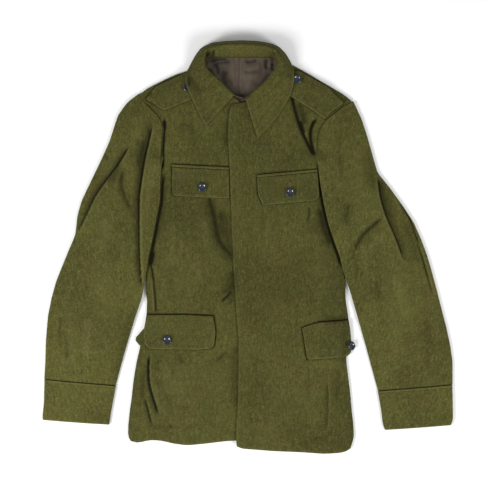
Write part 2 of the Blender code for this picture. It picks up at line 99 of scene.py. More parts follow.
# Each front: y, x of the inner edge, x of the side, from the shoulder to the hem
FRONT_RIGHT = [
    (333, -77.5, -116), (325, -69, -141), (311, -54, -170), (300, -42.5, -192),
    (290, -32, -204), (282, -25, -215), (276, -15, -197), (266, -13, -184),
    (245, -13, -165), (226, -13, -159), (203, -13, -160), (165, -13, -162),
    (127, -11, -165), (98, -10, -174), (79, -9, -182), (41, -7, -186),
    (-6, -5, -190), (-54, -2, -193), (-82, 1, -194), (-103, 3, -191),
    (-129, 4, -192), (-168, 7, -199), (-189, 8, -204), (-219, 8, -211),
    (-255, 7, -217), (-284, 6, -220), (-313, 5, -224), (-342, 4, -227),
    (-361, 4, -227), (-369, 3, -223),
]
FRONT_LEFT = [
    (344, 62, 87), (331, 53, 111), (315, 40, 138), (300, 25, 164), (288, 11, 184),
    (276, 0, 199), (272.6, -12, 191), (271, -29, 187), (266, -32, 177), (254, -35, 163),
    (242, -36, 147), (228, -37, 138), (211, -37, 132), (184, -36, 131),
    (146, -34, 134), (108, -33, 142), (76, -31, 162), (32, -30, 172),
    (-6, -28, 177), (-44, -27, 183), (-67, -25, 186), (-101, -23, 186),
    (-138, -20, 192), (-177, -17, 190), (-214, -17, 187), (-269, -18, 194),
    (-313, -19, 198), (-342, -21, 201), (-367, -22, 202), (-384, -21, 196),
]
HEM_RIGHT = [
    (-226, -367), (-211, -373), (-185, -367), (-165, -368), (-139, -374), (-115, -377),
    (-82, -374), (-40, -369), (4, -367),
]
HEM_LEFT = [
    (-22, -377), (-14, -383), (49, -388), (100, -390), (145, -393.2), (178, -391.5),
    (194, -386), (202, -374),
]
BACK_SHOULDERS = [
    (355, -79, 60), (344, -98, 78), (336, -109, 93), (325, -140, 121),
    (311, -169, 144), (300, -191, 164), (284, -213, 187),
]
LINING_ROWS = [(363, -74, 54), (354, -80, 60), (340, -86, 64), (315, -70, 52), (290, -42, 30), (268, -30, 14)]

# Each sleeve and cuff: x and y of the inner edge, x and y of the outer edge
SLEEVE_RIGHT = [
    (-203, 291, -208, 290), (-197, 279, -228, 275), (-184, 266, -237, 263),
    (-165, 245, -246, 250), (-159, 226, -253, 229), (-160, 203, -262, 201),
    (-162, 165, -278, 165), (-165, 127, -294, 132), (-166, 87, -315, 88),
    (-172, 59, -323, 60), (-179, 21, -327, 23), (-187, -16, -344, -17),
    (-194, -61, -363, -64), (-200, -95, -372, -96), (-214, -137, -379, -131),
    (-228, -183, -383, -179), (-239, -222, -384, -218), (-250, -263, -386, -251),
]
SLEEVE_LEFT = [
    (199, 276, 201, 276), (188, 272, 203, 271), (177, 266, 206, 265),
    (163, 254, 211, 254), (147, 242, 217, 241), (138, 228, 221, 228),
    (132, 211, 227, 210), (131, 184, 235, 182), (134, 146, 246, 142),
    (138, 116, 270, 112), (144, 83, 294, 79), (152, 47, 315, 47), (163, 13, 330, 13),
    (174, -17, 341, -17), (183, -52, 350, -48), (194, -84, 359, -82),
    (205, -122, 369, -121), (216, -160, 378, -156), (224, -188, 385, -189),
    (232, -218, 389, -218), (247, -273, 389, -261),
]
CUFF_RIGHT = [(-250, -263, -386, -251), (-258, -306, -387, -297), (-262, -331, -390, -322),
              (-263, -337, -389, -328)]
CUFF_LEFT = [(247, -273, 389, -261), (253, -306, 390, -308), (257, -337, 390, -328),
             (261, -347, 386, -338)]

# Collar sections, from the right tip round the neck: outer edge x, y, then roll x, y
COLLAR = [
    (-80, 228, -27, 286), (-92, 251, -36, 294), (-104, 277, -46, 304),
    (-113, 297, -57, 315), (-118, 313, -68, 325), (-117, 328, -77, 333),
    (-108, 345, -83, 343), (-99, 361, -85, 357), (-88, 376, -81, 370),
    (-68, 385.5, -68, 379), (-43, 389, -42, 381), (-10, 390.2, -11, 381.5),
    (18, 389, 16, 381), (40, 385.5, 36, 379), (58, 379, 51, 373), (70, 367, 59, 363),
    (80, 351, 61, 352), (88, 334, 58, 342), (89, 315, 51, 331), (83, 292, 41, 318),
    (72, 270, 28, 304), (59, 250, 15, 293), (38, 225, 5, 284), (19, 205, -3, 277),
]
STAND_THROAT = [(-9.5, 281, 8.5), (-18, 283, 10)]


def ease(start: float, end: float, value: Array | float) -> Array:
    """Ease from 0 at start to 1 at end.

    Args:
        start: value where the step begins.
        end: value where it is complete, above or below start.
        value: numbers to read.

    Returns:
        A number from 0 to 1 for each value.
    """
    step = np.clip((value - start) / (end - start), 0.0, 1.0)
    return step * step * (3.0 - 2.0 * step)


def bell(value: Array, width: Array | float) -> Array:
    """A soft hump, 1 at 0 and falling over the width."""
    return np.exp(-(value / width) ** 2)


def soften(values: Array, reach: float) -> Array:
    """Smooth a table's columns along its rows, with both ends kept.

    Args:
        values: rows of numbers at even steps.
        reach: smoothing distance in steps.

    Returns:
        The smoothed table, with the same shape.
    """
    count = int(3 * reach)
    kernel = np.exp(-0.5 * (np.arange(-count, count + 1) / reach) ** 2)
    kernel /= kernel.sum()
    lead = 2.0 * values[:1] - values[count:0:-1]
    tail = 2.0 * values[-1:] - values[-2:-count - 2:-1]
    padded = np.concatenate([lead, values, tail])
    columns = [np.convolve(padded[:, index], kernel, mode="valid") for index in range(values.shape[1])]
    return np.stack(columns, axis=1)


def resample(table: Sequence[Sequence[float]], spacing: float, reach: float) -> Array:
    """Turn a measured table into smooth rows at an even spacing.

    Args:
        table: rows of coordinates in millimetres.
        spacing: distance between the new rows.
        reach: distance over which corners are softened.

    Returns:
        The new rows.
    """
    values = np.array(table, float)
    steps = np.abs(np.diff(values, axis=0)).max(axis=1)
    along = np.concatenate([[0.0], np.cumsum(steps)])
    fine = np.linspace(0.0, along[-1], max(12, int(along[-1])) + 1)
    dense = np.stack([np.interp(fine, along, values[:, index]) for index in range(values.shape[1])], axis=1)
    if len(dense) > 3 * reach + 4:
        dense = soften(dense, reach)
    count = max(3, int(round(along[-1] / spacing)))
    picks = np.linspace(0.0, len(dense) - 1.0, count + 1)
    low = np.minimum(picks.astype(int), len(dense) - 2)
    share = (picks - low)[:, None]
    return dense[low] * (1.0 - share) + dense[low + 1] * share


def clustered(width: float, fine: Sequence[float], spacing: float) -> Array:
    """Offsets across a width, dense near both edges.

    Args:
        width: the whole width.
        fine: offsets from each edge that are kept as they are.
        spacing: spacing of the rest.

    Returns:
        Rising offsets from 0 to the width.
    """
    edge = np.array(fine)
    middle = width - 2.0 * edge[-1]
    count = max(2, int(middle / spacing))
    inner = edge[-1] + middle * np.linspace(0.0, 1.0, count + 1)[1:-1]
    return np.concatenate([edge, inner, (width - edge)[::-1]])


class Slot(Enum):
    """Material slots."""

    WOOL = "wool"
    LINING = "lining"
    BUTTON = "button"


class Signal:
    """A number that travels between shader nodes and can be used in an expression."""

    def __init__(self, desk: "Desk", socket: bpy.types.NodeSocket) -> None:
        """Wrap one output socket."""
        self.desk = desk
        self.socket = socket

    def _math(self, operation: str, first: Any, second: Any = 0.0) -> "Signal":
        """Add one Math node."""
        return self.desk.node("ShaderNodeMath", {"operation": operation}, {0: first, 1: second})

    def __add__(self, other: Any) -> "Signal":
        """self + other."""
        return self._math("ADD", self, other)

    __radd__ = __add__

    def __sub__(self, other: Any) -> "Signal":
        """self - other."""
        return self._math("SUBTRACT", self, other)

    def __rsub__(self, other: Any) -> "Signal":
        """other - self."""
        return self._math("SUBTRACT", other, self)

    def __mul__(self, other: Any) -> "Signal":
        """self * other."""
        return self._math("MULTIPLY", self, other)

    __rmul__ = __mul__

    def sine(self) -> "Signal":
        """Sine of the number, in radians."""
        return self._math("SINE", self)

    def between(self, low: float, high: float) -> "Signal":
        """Step softly from 0 at low to 1 at high."""
        inputs = {"Value": self, "From Min": low, "From Max": high, "To Min": 0.0, "To Max": 1.0}
        return self.desk.node("ShaderNodeMapRange", {"interpolation_type": "SMOOTHSTEP"}, inputs)


class Desk:
    """One material's node tree, with short ways to add to it."""

    def __init__(self, name: str) -> None:
        """Make the material and keep its Principled shader."""
        self.material = bpy.data.materials.new(name)
        self.material.use_nodes = True
        self.tree = self.material.node_tree
        self.shader = self.tree.nodes["Principled BSDF"]

    def node(self, kind: str, settings: dict[str, Any], inputs: dict[Any, Any], output: Any = 0) -> Signal:
        """Add one node.

        Args:
            kind: Blender's type name.
            settings: properties of the node, set before its sockets.
            inputs: value or Signal for each socket, by name or number.
            output: name or number of the socket that is returned.

        Returns:
            The output as a Signal.
        """
        made = self.tree.nodes.new(kind)
        for key, value in settings.items():
            setattr(made, key, value)
        for key, value in inputs.items():
            self.feed(made.inputs[key], value)
        return Signal(self, made.outputs[output])

    def feed(self, socket: bpy.types.NodeSocket, value: Any) -> None:
        """Link a Signal to a socket, or set its value."""
        if isinstance(value, Signal):
            self.tree.links.new(value.socket, socket)
        elif isinstance(value, tuple) and len(value) == 3 and socket.type == "RGBA":
            socket.default_value = (*value, 1.0)
        else:
            socket.default_value = value

    def place(self, scale: tuple[float, float, float], turn: float = 0.0) -> Signal:
        """Coordinates on the object, in metres, turned about Z and then scaled."""
        spot = self.node("ShaderNodeTexCoord", {}, {}, "Object")
        inputs = {"Vector": spot, "Rotation": (0.0, 0.0, math.radians(turn))}
        turned = self.node("ShaderNodeMapping", {}, inputs)
        return self.node("ShaderNodeMapping", {}, {"Vector": turned, "Scale": scale})

    def noise(self, place: Signal, scale: float, detail: float = 3.0, rough: float = 0.55) -> Signal:
        """Noise around 0.5."""
        inputs = {"Vector": place, "Scale": scale, "Detail": detail, "Roughness": rough}
        return self.node("ShaderNodeTexNoise", {}, inputs, "Fac")

    def attribute(self, name: str) -> Signal:
        """A number kept on the mesh's points."""
        return self.node("ShaderNodeAttribute", {"attribute_name": name}, {}, "Fac")

    def plan(self, place: Signal) -> tuple[Signal, Signal]:
        """The x and the y of a place."""
        across, down = (self.node("ShaderNodeSeparateXYZ", {}, {0: place}, axis) for axis in "XY")
        return across, down

    def blend(self, share: Any, first: Any, second: Any) -> Signal:
        """Mix two colours."""
        settings = {"data_type": "RGBA", "blend_type": "MIX"}
        return self.node("ShaderNodeMix", settings, {0: share, 6: first, 7: second}, 2)

    def bump(self, height: Signal, strength: float, distance: float) -> None:
        """Feed a height to the shader's normal."""
        inputs = {"Height": height, "Strength": strength, "Distance": distance}
        self.feed(self.shader.inputs["Normal"], self.node("ShaderNodeBump", {}, inputs))

    def finish(self, **sockets: Any) -> bpy.types.Material:
        """Set the shader's sockets by name, with _ for a space, and return the material."""
        for name, value in sockets.items():
            self.feed(self.shader.inputs[name.replace("_", " ")], value)
        return self.material


@dataclass(frozen=True)
class WoolFinish:
    """Felted wool twill with a short nap."""

    name: str
    grain: float = 0.0
    tone: float = 1.0
    cloth: Colour = (0.067, 0.067, 0.0165)
    brown: Colour = (0.074, 0.060, 0.0160)
    deep: Colour = (0.020, 0.018, 0.0050)
    # The next colour is that of painted shade; the one after is the pale of the grain, of painted highlight
    # and of wear.
    shadow_black: Colour = (0.0036, 0.0030, 0.0010)
    lit_and_worn: Colour = (0.146, 0.142, 0.046)
    fleck: Colour = (0.20, 0.19, 0.10)

    def toned(self, colour: Colour) -> Colour:
        """The colour, lighter or darker by this piece's tone."""
        return colour[0] * self.tone, colour[1] * self.tone, colour[2] * self.tone

    def material(self) -> bpy.types.Material:
        """Build the node tree."""
        desk = Desk(self.name)
        even = desk.place((1.0, 1.0, 1.0), self.grain)
        drawn = desk.place((1.0, 0.28, 1.0), self.grain)
        patches = desk.noise(even, 24.0, 4.0, 0.62)
        drift = desk.noise(even, 7.0, 2.0, 0.5)
        speckle = desk.noise(even, 300.0, 4.0, 0.8)
        streak = desk.noise(drawn, 300.0, 3.0, 0.7)
        cloudy = desk.noise(even, 90.0, 3.0, 0.6)
        fibre = desk.noise(even, 1500.0, 2.0, 0.6)
        across, down = desk.plan(even)
        sway = (streak - 0.5) * 2.4
        twill = ((across + down) * 3400.0 + sway).sine() * 0.5 + 0.5
        shade = desk.attribute("shade")
        lit_and_worn = desk.attribute("lit_and_worn")
        light, dim = self.toned(self.lit_and_worn), self.toned(self.deep)
        colour = desk.blend(patches.between(0.44, 0.66) * 0.5, self.toned(self.cloth), self.toned(self.brown))
        colour = desk.blend(drift.between(0.38, 0.68) * 0.34, colour, dim)
        colour = desk.blend(cloudy.between(0.50, 0.75) * 0.13, colour, light)
        colour = desk.blend((1.0 - cloudy).between(0.50, 0.75) * 0.20, colour, dim)
        grain = speckle * 0.62 + streak * 0.38
        colour = desk.blend(grain.between(0.49, 0.66) * 0.55, colour, light)
        colour = desk.blend((1.0 - grain).between(0.49, 0.66) * 0.70, colour, dim)
        colour = desk.blend(twill * 0.12, colour, dim)
        # Painted highlight with wear, from the value kept on the mesh's points: lighter on ridges, rims and
        # turned edges.
        colour = desk.blend((lit_and_worn * (0.75 + patches * 0.5)) * 0.5, colour, light)
        lint = desk.noise(even, 620.0, 1.0, 0.4)
        colour = desk.blend(lint.between(0.76, 0.81) * 0.5, colour, self.fleck)
        # Painted shade from the mesh's shade value: creases, seams, hollows and cloth beside and under other
        # pieces go toward near black.
        colour = desk.blend((shade * (0.8 + speckle * 0.4)).between(0.0, 1.0) * 0.97, colour, self.shadow_black)
        desk.bump(grain * 0.7 + fibre * 0.3 + twill * 0.22, 0.7, 0.0008)
        return desk.finish(
            Base_Color=colour, Roughness=0.80 + fibre * 0.2, Sheen_Weight=0.06, Sheen_Roughness=0.5,
            Sheen_Tint=(0.66, 0.62, 0.34, 1.0), Specular_IOR_Level=0.08)


@dataclass(frozen=True)
class LiningFinish:
    """Brown cotton in plain weave."""

    name: str = "lining_cotton"
    cloth: Colour = (0.066, 0.048, 0.031)
    pale: Colour = (0.120, 0.090, 0.062)
    deep: Colour = (0.009, 0.006, 0.004)

    def material(self) -> bpy.types.Material:
        """Build the node tree."""
        desk = Desk(self.name)
        even = desk.place((1.0, 1.0, 1.0))
        upright = desk.place((1.0, 0.35, 1.0))
        patches = desk.noise(even, 55.0, 3.0, 0.6)
        streaks = desk.noise(upright, 110.0, 4.0, 0.65)
        across, down = desk.plan(even)
        weave = (across * 8200.0).sine() * (down * 8200.0).sine() * 0.5 + 0.5
        colour = desk.blend(streaks.between(0.4, 0.68) * 0.6, self.cloth, self.pale)
        colour = desk.blend(patches.between(0.5, 0.75) * 0.45, colour, self.deep)
        colour = desk.blend(weave * 0.16, colour, self.deep)
        # Painted highlight with wear, then painted shade, both from values kept on the mesh's points.
        colour = desk.blend(desk.attribute("lit_and_worn") * 0.5, colour, self.pale)
        colour = desk.blend(desk.attribute("shade") * 0.85, colour, self.deep)
        desk.bump(weave * 0.5 + streaks * 0.5, 0.45, 0.0003)
        return desk.finish(
            Base_Color=colour, Roughness=0.62 + streaks * 0.2, Specular_IOR_Level=0.3,
            Sheen_Weight=0.12)


@dataclass(frozen=True)
class ButtonFinish:
    """Dark glossy plastic with light scratches."""

    name: str = "button_plastic"
    body: Colour = (0.008, 0.011, 0.020)
    rubbed: Colour = (0.030, 0.036, 0.052)

    def material(self) -> bpy.types.Material:
        """Build the node tree."""
        desk = Desk(self.name)
        even = desk.place((1.0, 1.0, 1.0))
        wear_and_highlight = desk.noise(even, 700.0, 4.0, 0.65)
        scratch = desk.noise(desk.place((1.0, 0.1, 1.0), 35.0), 1800.0, 2.0, 0.6)
        colour = desk.blend(wear_and_highlight.between(0.48, 0.7) * 0.6, self.body, self.rubbed)
        desk.bump(scratch, 0.12, 0.0001)
        return desk.finish(
            Base_Color=colour, Roughness=0.16 + wear_and_highlight * 0.22, Coat_Weight=0.7 - wear_and_highlight * 0.3,
            Coat_Roughness=0.10, Coat_Tint=(0.72, 0.86, 1.0, 1.0))


@dataclass(frozen=True)
class ThreadFinish:
    """Twisted sewing thread."""

    name: str = "sewing_thread"
    strand: Colour = (0.060, 0.060, 0.024)
    light: Colour = (0.120, 0.118, 0.055)

    def material(self) -> bpy.types.Material:
        """Build the node tree."""
        desk = Desk(self.name)
        ply = desk.noise(desk.place((1.0, 1.0, 1.0), 20.0), 2600.0, 2.0, 0.6)
        colour = desk.blend(ply.between(0.4, 0.7), self.strand, self.light)
        desk.bump(ply, 0.5, 0.0002)
        return desk.finish(Base_Color=colour, Roughness=0.6 + ply * 0.2, Sheen_Weight=0.15)


@dataclass(frozen=True)
class FloorFinish:
    """Plain pale floor."""

    name: str = "pale_floor"
    paint: Colour = (0.98, 0.98, 0.98)

    def material(self) -> bpy.types.Material:
        """Build the node tree."""
        desk = Desk(self.name)
        tone = desk.noise(desk.place((1.0, 1.0, 1.0)), 3.0, 2.0, 0.5)
        pale = tuple(part * 0.985 for part in self.paint)
        return desk.finish(Base_Color=desk.blend(tone, self.paint, pale), Roughness=0.9,
                           Specular_IOR_Level=0.1)


@dataclass(frozen=True)
class Crease:
    """A soft valley, ridge or folded edge in the cloth, along a path on the surface.

    The left hand side of the path is raised by step, and falls back over reach.
    A positive depth is a valley along the path and a negative one a ridge.
    """

    path: tuple[Point, ...]
    depth: float = 0.0
    width: float = 6.0
    step: float = 0.0
    reach: float = 14.0
    fade: float = 22.0
    # dark, core and skirt set the painted shade along the crease and its low side; lit sets the painted
    # highlight on a ridge or raised edge.
    dark: float = 0.5
    core: float = 1.6
    skirt: float = 7.0
    lit: float = 0.4

    def curve(self) -> Array:
        """The path as a smooth run of points."""
        points = np.array(self.path, float)
        if len(points) == 2:
            return np.linspace(points[0], points[1], 9)
        padded = np.concatenate([[2 * points[0] - points[1]], points, [2 * points[-1] - points[-2]]])
        spans = []
        for index in range(1, len(padded) - 2):
            before, start, end, after = padded[index - 1:index + 3]
            share = np.linspace(0.0, 1.0, 7)[:-1, None]
            spans.append(0.5 * (2 * start + (end - before) * share
                                + (2 * before - 5 * start + 4 * end - after) * share ** 2
                                + (3 * start - before - 3 * end + after) * share ** 3))
        spans.append(points[-1:])
        return np.concatenate(spans)

    def read(self, x: Array, y: Array) -> tuple[Array, Array, Array]:
        """Read the crease at points.

        Args:
            x: x of the points.
            y: y of the points.

        Returns:
            Height, painted shade, and painted highlight with wear, at each point.
        """
        line = self.curve()
        best = np.full(x.shape, 1e9)
        side = np.zeros(x.shape)
        along = np.zeros(x.shape)
        done = 0.0
        for start, end in zip(line, line[1:]):
            run = end - start
            length = float(np.hypot(*run))
            run = run / length
            dx, dy = x - start[0], y - start[1]
            share = np.clip(dx * run[0] + dy * run[1], 0.0, length)
            away = np.hypot(dx - run[0] * share, dy - run[1] * share)
            closer = away < best
            best = np.where(closer, away, best)
            side = np.where(closer, run[0] * dy - run[1] * dx, side)
            along = np.where(closer, done + share, along)
            done += length
        fade = min(self.fade, done * 0.5)
        life = ease(0.0, fade, along) * ease(0.0, fade, done - along)
        sign = np.where(side >= 0.0, 1.0, -1.0)
        signed = best * sign
        swell = 1.0 + 0.22 * np.sin(along * 0.071 + self.path[0][0]) + 0.12 * np.sin(along * 0.19)
        rise_width = min(self.width, 2.8) if self.step else self.width
        valley = bell(best, np.where(signed < 0.0, self.width, rise_width))
        raised = ease(-1.2, 2.4, signed) * np.exp(-np.maximum(signed, 0.0) / self.reach)
        height = (self.step * raised - self.depth * valley) * life * swell
        taper = 0.35 + 0.65 * life
        # Painted shade on the low side and in the valley; painted highlight on the raised edge and on ridges.
        if self.step:
            slope = bell(best, np.where(signed < 0.0, self.skirt * taper, 1.2))
            dark = 0.5 * bell(signed + 0.5, self.core * taper) + 0.66 * slope
            lit = self.lit * bell(signed - 2.6, 2.2) * life
        else:
            dark = 0.35 * bell(best, self.core * taper) + 0.8 * bell(best, self.skirt * taper)
            lit = self.lit * bell(best, self.width * 0.8) * life * (1.0 if self.depth < 0 else 0.0)
        dark = np.clip(self.dark * dark * life * (1.0 if self.depth + self.step >= 0 else 0.0), 0.0, 1.0)
        return height, dark, lit


@dataclass
class Relief:
    """Every crease of the cloth with its broad waves, read by all the pieces."""

    creases: tuple[Crease, ...]
    waves: tuple[tuple[float, float, float, float], ...] = (
        (0.034, 0.019, 0.4, 0.36), (-0.021, 0.043, 1.9, 0.30), (0.052, -0.047, 3.1, 0.16),
        (0.081, 0.030, 5.2, 0.11), (-0.066, 0.092, 0.9, 0.09), (0.140, 0.102, 2.2, 0.05),
    )

    def read(self, x: Array, y: Array) -> tuple[Array, Array, Array]:
        """Add up height, painted shade, and painted highlight with wear, at points.

        Args:
            x: x of the points.
            y: y of the points.

        Returns:
            Height in millimetres, painted shade, and painted highlight with wear, from 0 to 1.
        """
        height = np.zeros(x.shape)
        dark = np.zeros(x.shape)
        lit = np.zeros(x.shape)
        for along, up, phase, size in self.waves:
            height = height + size * np.sin(x * along + y * up + phase)
        for crease in self.creases:
            line = np.array(crease.path)
            margin = 3.2 * crease.width + 3.0 * (crease.reach if crease.step else 0.0) + 4.0
            low, high = line.min(0) - margin, line.max(0) + margin
            near = (x > low[0]) & (x < high[0]) & (y > low[1]) & (y < high[1])
            if near.any():
                # The third value is painted highlight with wear.
                rise, shade, wear_and_highlight = crease.read(x[near], y[near])
                height[near] += rise
                dark[near] = np.maximum(dark[near], shade)
                lit[near] = np.maximum(lit[near], wear_and_highlight)
        return height, dark, lit


# Each crease's dark, core and skirt paint shade into the cloth's colour and its lit paints a highlight; rows
# with no depth or step are painted shade alone.
BODY_CREASES = (
    # From the right breast pocket down to the front edge
    Crease(((-76, 104), (-71, 85), (-64, 57), (-56, 19), (-49, 3), (-37, -10), (-22, -24)),
           depth=3.8, width=13, dark=0.62, core=4.0, skirt=14, fade=16),
    Crease(((-44, 84), (-42, 40), (-36, 0), (-30, -40)), depth=1.0, width=14, dark=0.45, core=6,
           skirt=16, fade=30),
    Crease(((-84, 70), (-80, 30), (-74, -10)), depth=-1.6, width=14, lit=0.25, fade=24),
    Crease(((-38, 258), (-41, 220), (-46, 172)), depth=0.8, width=10, dark=0.34, core=4, skirt=11,
           fade=30),
    Crease(((-128, 244), (-120, 232), (-96, 226)), depth=0.8, width=14, dark=0.35, skirt=14, fade=14),
    Crease(((-60, 272), (-74, 262), (-90, 256)), depth=0.8, width=10, dark=0.4, skirt=10, fade=14),
    Crease(((-24, -30), (-30, -70), (-36, -110)), depth=1.2, width=16, dark=0.45, core=6, skirt=18,
           fade=24),
    Crease(((-52, 84), (-48, 40), (-38, 6)), dark=0.5, core=8, skirt=17, fade=24),
    Crease(((-110, -10), (-92, -40), (-70, -60)), depth=-1.2, width=16, lit=0.3, fade=22),
    Crease(((-140, -20), (-146, -60), (-140, -100)), depth=0.9, width=16, dark=0.25, skirt=16, fade=24),
    Crease(((-20, -170), (-26, -240), (-22, -320)), depth=0.6, width=14, dark=0.35, core=6, skirt=14,
           fade=30),
    Crease(((-150, -200), (-158, -260), (-150, -330)), depth=-1.1, width=12, lit=0.35, fade=28),
    Crease(((60, 190), (76, 170), (96, 158)), depth=0.7, width=12, dark=0.28, skirt=12, fade=16),
    Crease(((-51, 193), (-56, 160), (-62, 140)), depth=0.9, width=9, dark=0.25, fade=14),
    # Side seam and the folds beside it
    Crease(((-187, -14), (-180, -55), (-176, -92), (-174, -128)), depth=0.7, width=2.4, dark=0.75,
           core=1.5, skirt=3.0, fade=8),
    Crease(((-183, -60), (-180, -92), (-178, -126)), depth=-0.6, width=3.5, lit=0.45, fade=10),
    Crease(((-166, -78), (-157, -66)), depth=-0.6, width=3.0, lit=0.5, fade=6),
    Crease(((-182, -197), (-187, -217), (-186, -259), (-173, -305), (-166, -325)),
           step=1.8, depth=1.9, width=9, reach=14, dark=1.0, core=2.4, skirt=6, lit=0.55),
    Crease(((-199, -276), (-189, -308), (-179, -348)), step=1.2, depth=1.0, width=8, reach=12,
           dark=0.75, core=2.2, skirt=6),
    # Under the front edge
    Crease(((-29, -190), (-48, -207), (-72, -227)), depth=0.9, width=8, dark=0.45),
    Crease(((-26, -62), (-36, -78), (-50, -90)), depth=0.8, width=5, dark=0.5, core=2.4, skirt=5, fade=8),
    Crease(((-28, -80), (-38, -93), (-52, -106)), depth=1.1, width=4, dark=0.75, core=2.2, skirt=4,
           fade=8),
    Crease(((-27, -95), (-36, -112)), depth=0.8, width=3.5, dark=0.5, core=2.0, skirt=4, fade=7),
    Crease(((-25, -52), (-29, -85), (-36, -118)), depth=0.5, width=12, dark=0.42, skirt=13),
    Crease(((-150, -334), (-142, -346)), depth=0.7, width=4, dark=0.5, fade=6),
    Crease(((151, -245), (153, -300), (150, -358)), step=0.9, depth=0.9, width=8, reach=18, dark=0.45,
           core=2.6, skirt=8),
    Crease(((-192, -230), (-200, -262), (-198, -300)), depth=1.0, width=9, dark=0.4, core=3, skirt=9,
           fade=20),
    Crease(((-165, -236), (-160, -270), (-148, -300), (-140, -330)), depth=0.9, width=10, dark=0.3,
           core=3, skirt=9, fade=20),
    Crease(((-178, -250), (-170, -290), (-160, -318)), depth=-1.4, width=6, lit=0.4, fade=18),
    Crease(((-130, -198), (-128, -212), (-122, -224)), dark=0.35, core=4, skirt=9, fade=8),
    Crease(((112, -226), (116, -262), (112, -300)), depth=0.7, width=10, dark=0.26, skirt=11, fade=20),
    Crease(((170, -214), (172, -250), (166, -300)), depth=0.8, width=10, dark=0.3, skirt=10, fade=24),
    # Broad waves of the panels
    Crease(((-150, 60), (-138, -10), (-120, -90)), depth=-1.5, width=22, lit=0.15),
    Crease(((-120, -215), (-132, -280), (-140, -350)), depth=-1.3, width=20, lit=0.15),
    Crease(((60, -20), (74, -70), (90, -120)), depth=1.3, width=24, dark=0.16, skirt=22),
    Crease(((120, 40), (136, -20), (150, -90)), depth=-1.4, width=20, lit=0.15),
    Crease(((40, -230), (48, -290), (60, -350)), depth=-1.2, width=24, lit=0.12),
    Crease(((-112, 250), (-104, 215), (-96, 180)), depth=1.2, width=15, dark=0.3, skirt=13),
    Crease(((-6, 60), (10, 20), (14, -30)), depth=0.8, width=14, dark=0.2, skirt=12),
    Crease(((36, 60), (48, 10), (44, -40)), depth=-0.9, width=16, lit=0.12),
    Crease(((-104, 80), (-92, 40), (-82, -60), (-78, -110)), depth=0.9, width=16, dark=0.22, skirt=15),
    Crease(((128, -250), (120, -300), (126, -352)), depth=-0.8, width=9, lit=0.15),
    Crease(((10, -250), (2, -300), (6, -350)), depth=0.6, width=12, dark=0.2, skirt=10),
    Crease(((-60, -260), (-70, -310), (-66, -350)), depth=0.8, width=13, dark=0.2, skirt=12),
    Crease(((116, 80), (117, 62), (113, 44)), depth=0.8, width=3.4, dark=0.5, core=2.2, skirt=4, fade=8),
    Crease(((30, 78), (28, 50), (32, 20)), depth=0.8, width=10, dark=0.25, skirt=9),
    # Deep folds between the chest and the left sleeve
    Crease(((82, 296), (87, 272), (96, 238), (104, 217), (111, 202), (119, 186), (128, 166)),
           depth=3.0, width=6, dark=1.0, core=2.4, skirt=4.0, lit=0.4, fade=16),
    Crease(((98, 246), (103, 226), (110, 208)), depth=0.8, width=6, dark=0.9, core=3.4, skirt=5.5,
           fade=12),
    Crease(((92, 284), (104, 250), (114, 222)), depth=1.4, width=12, dark=0.5, core=6, skirt=12,
           fade=20),
    Crease(((136, 246), (124, 234), (119, 214), (122, 191), (130, 166)), depth=2.4, width=5, dark=1.0,
           core=2.4, skirt=4.2, fade=14),
    Crease(((104, 240), (110, 216), (117, 196)), depth=-1.8, width=4.5, lit=0.25, fade=10),
    Crease(((96, 200), (104, 180), (112, 160)), depth=1.0, width=10, dark=0.35, skirt=10, fade=16),
    # Painted shadow on the cloth beside the sleeves' inner edges, some rows with a trough under it
    Crease(((136, 150), (138, 116), (142, 83), (150, 47), (160, 13), (172, -18), (180, -50)),
           dark=0.85, core=3.0, skirt=6, fade=26),
    Crease(((134, 92), (141, 54), (152, 18), (166, -14)), depth=2.6, width=15, dark=0.62, core=6,
           skirt=15, fade=30),
    Crease(((120, 74), (128, 44), (140, 12)), depth=1.0, width=14, dark=0.35, skirt=16, fade=26),
    Crease(((-157, 150), (-161, 120), (-163, 87), (-168, 59), (-175, 21), (-183, -16), (-190, -52)),
           dark=0.8, core=2.2, skirt=5.0, fade=26),
    Crease(((-158, 110), (-164, 62), (-174, 10)), depth=1.4, width=11, dark=0.42, skirt=13, fade=26),
    Crease(((-178, 0), (-182, -22), (-187, -44)), dark=0.9, core=4.0, skirt=6.5, fade=14),
    Crease(((-155, 250), (-158.5, 238), (-159, 216), (-160.5, 190), (-161.5, 158), (-162, 140)),
           dark=1.0, core=2.8, skirt=3.6, fade=16),
    Crease(((-157, 246), (-157.5, 230), (-158.5, 212)), dark=1.0, core=4.0, skirt=3.6, fade=12),
)
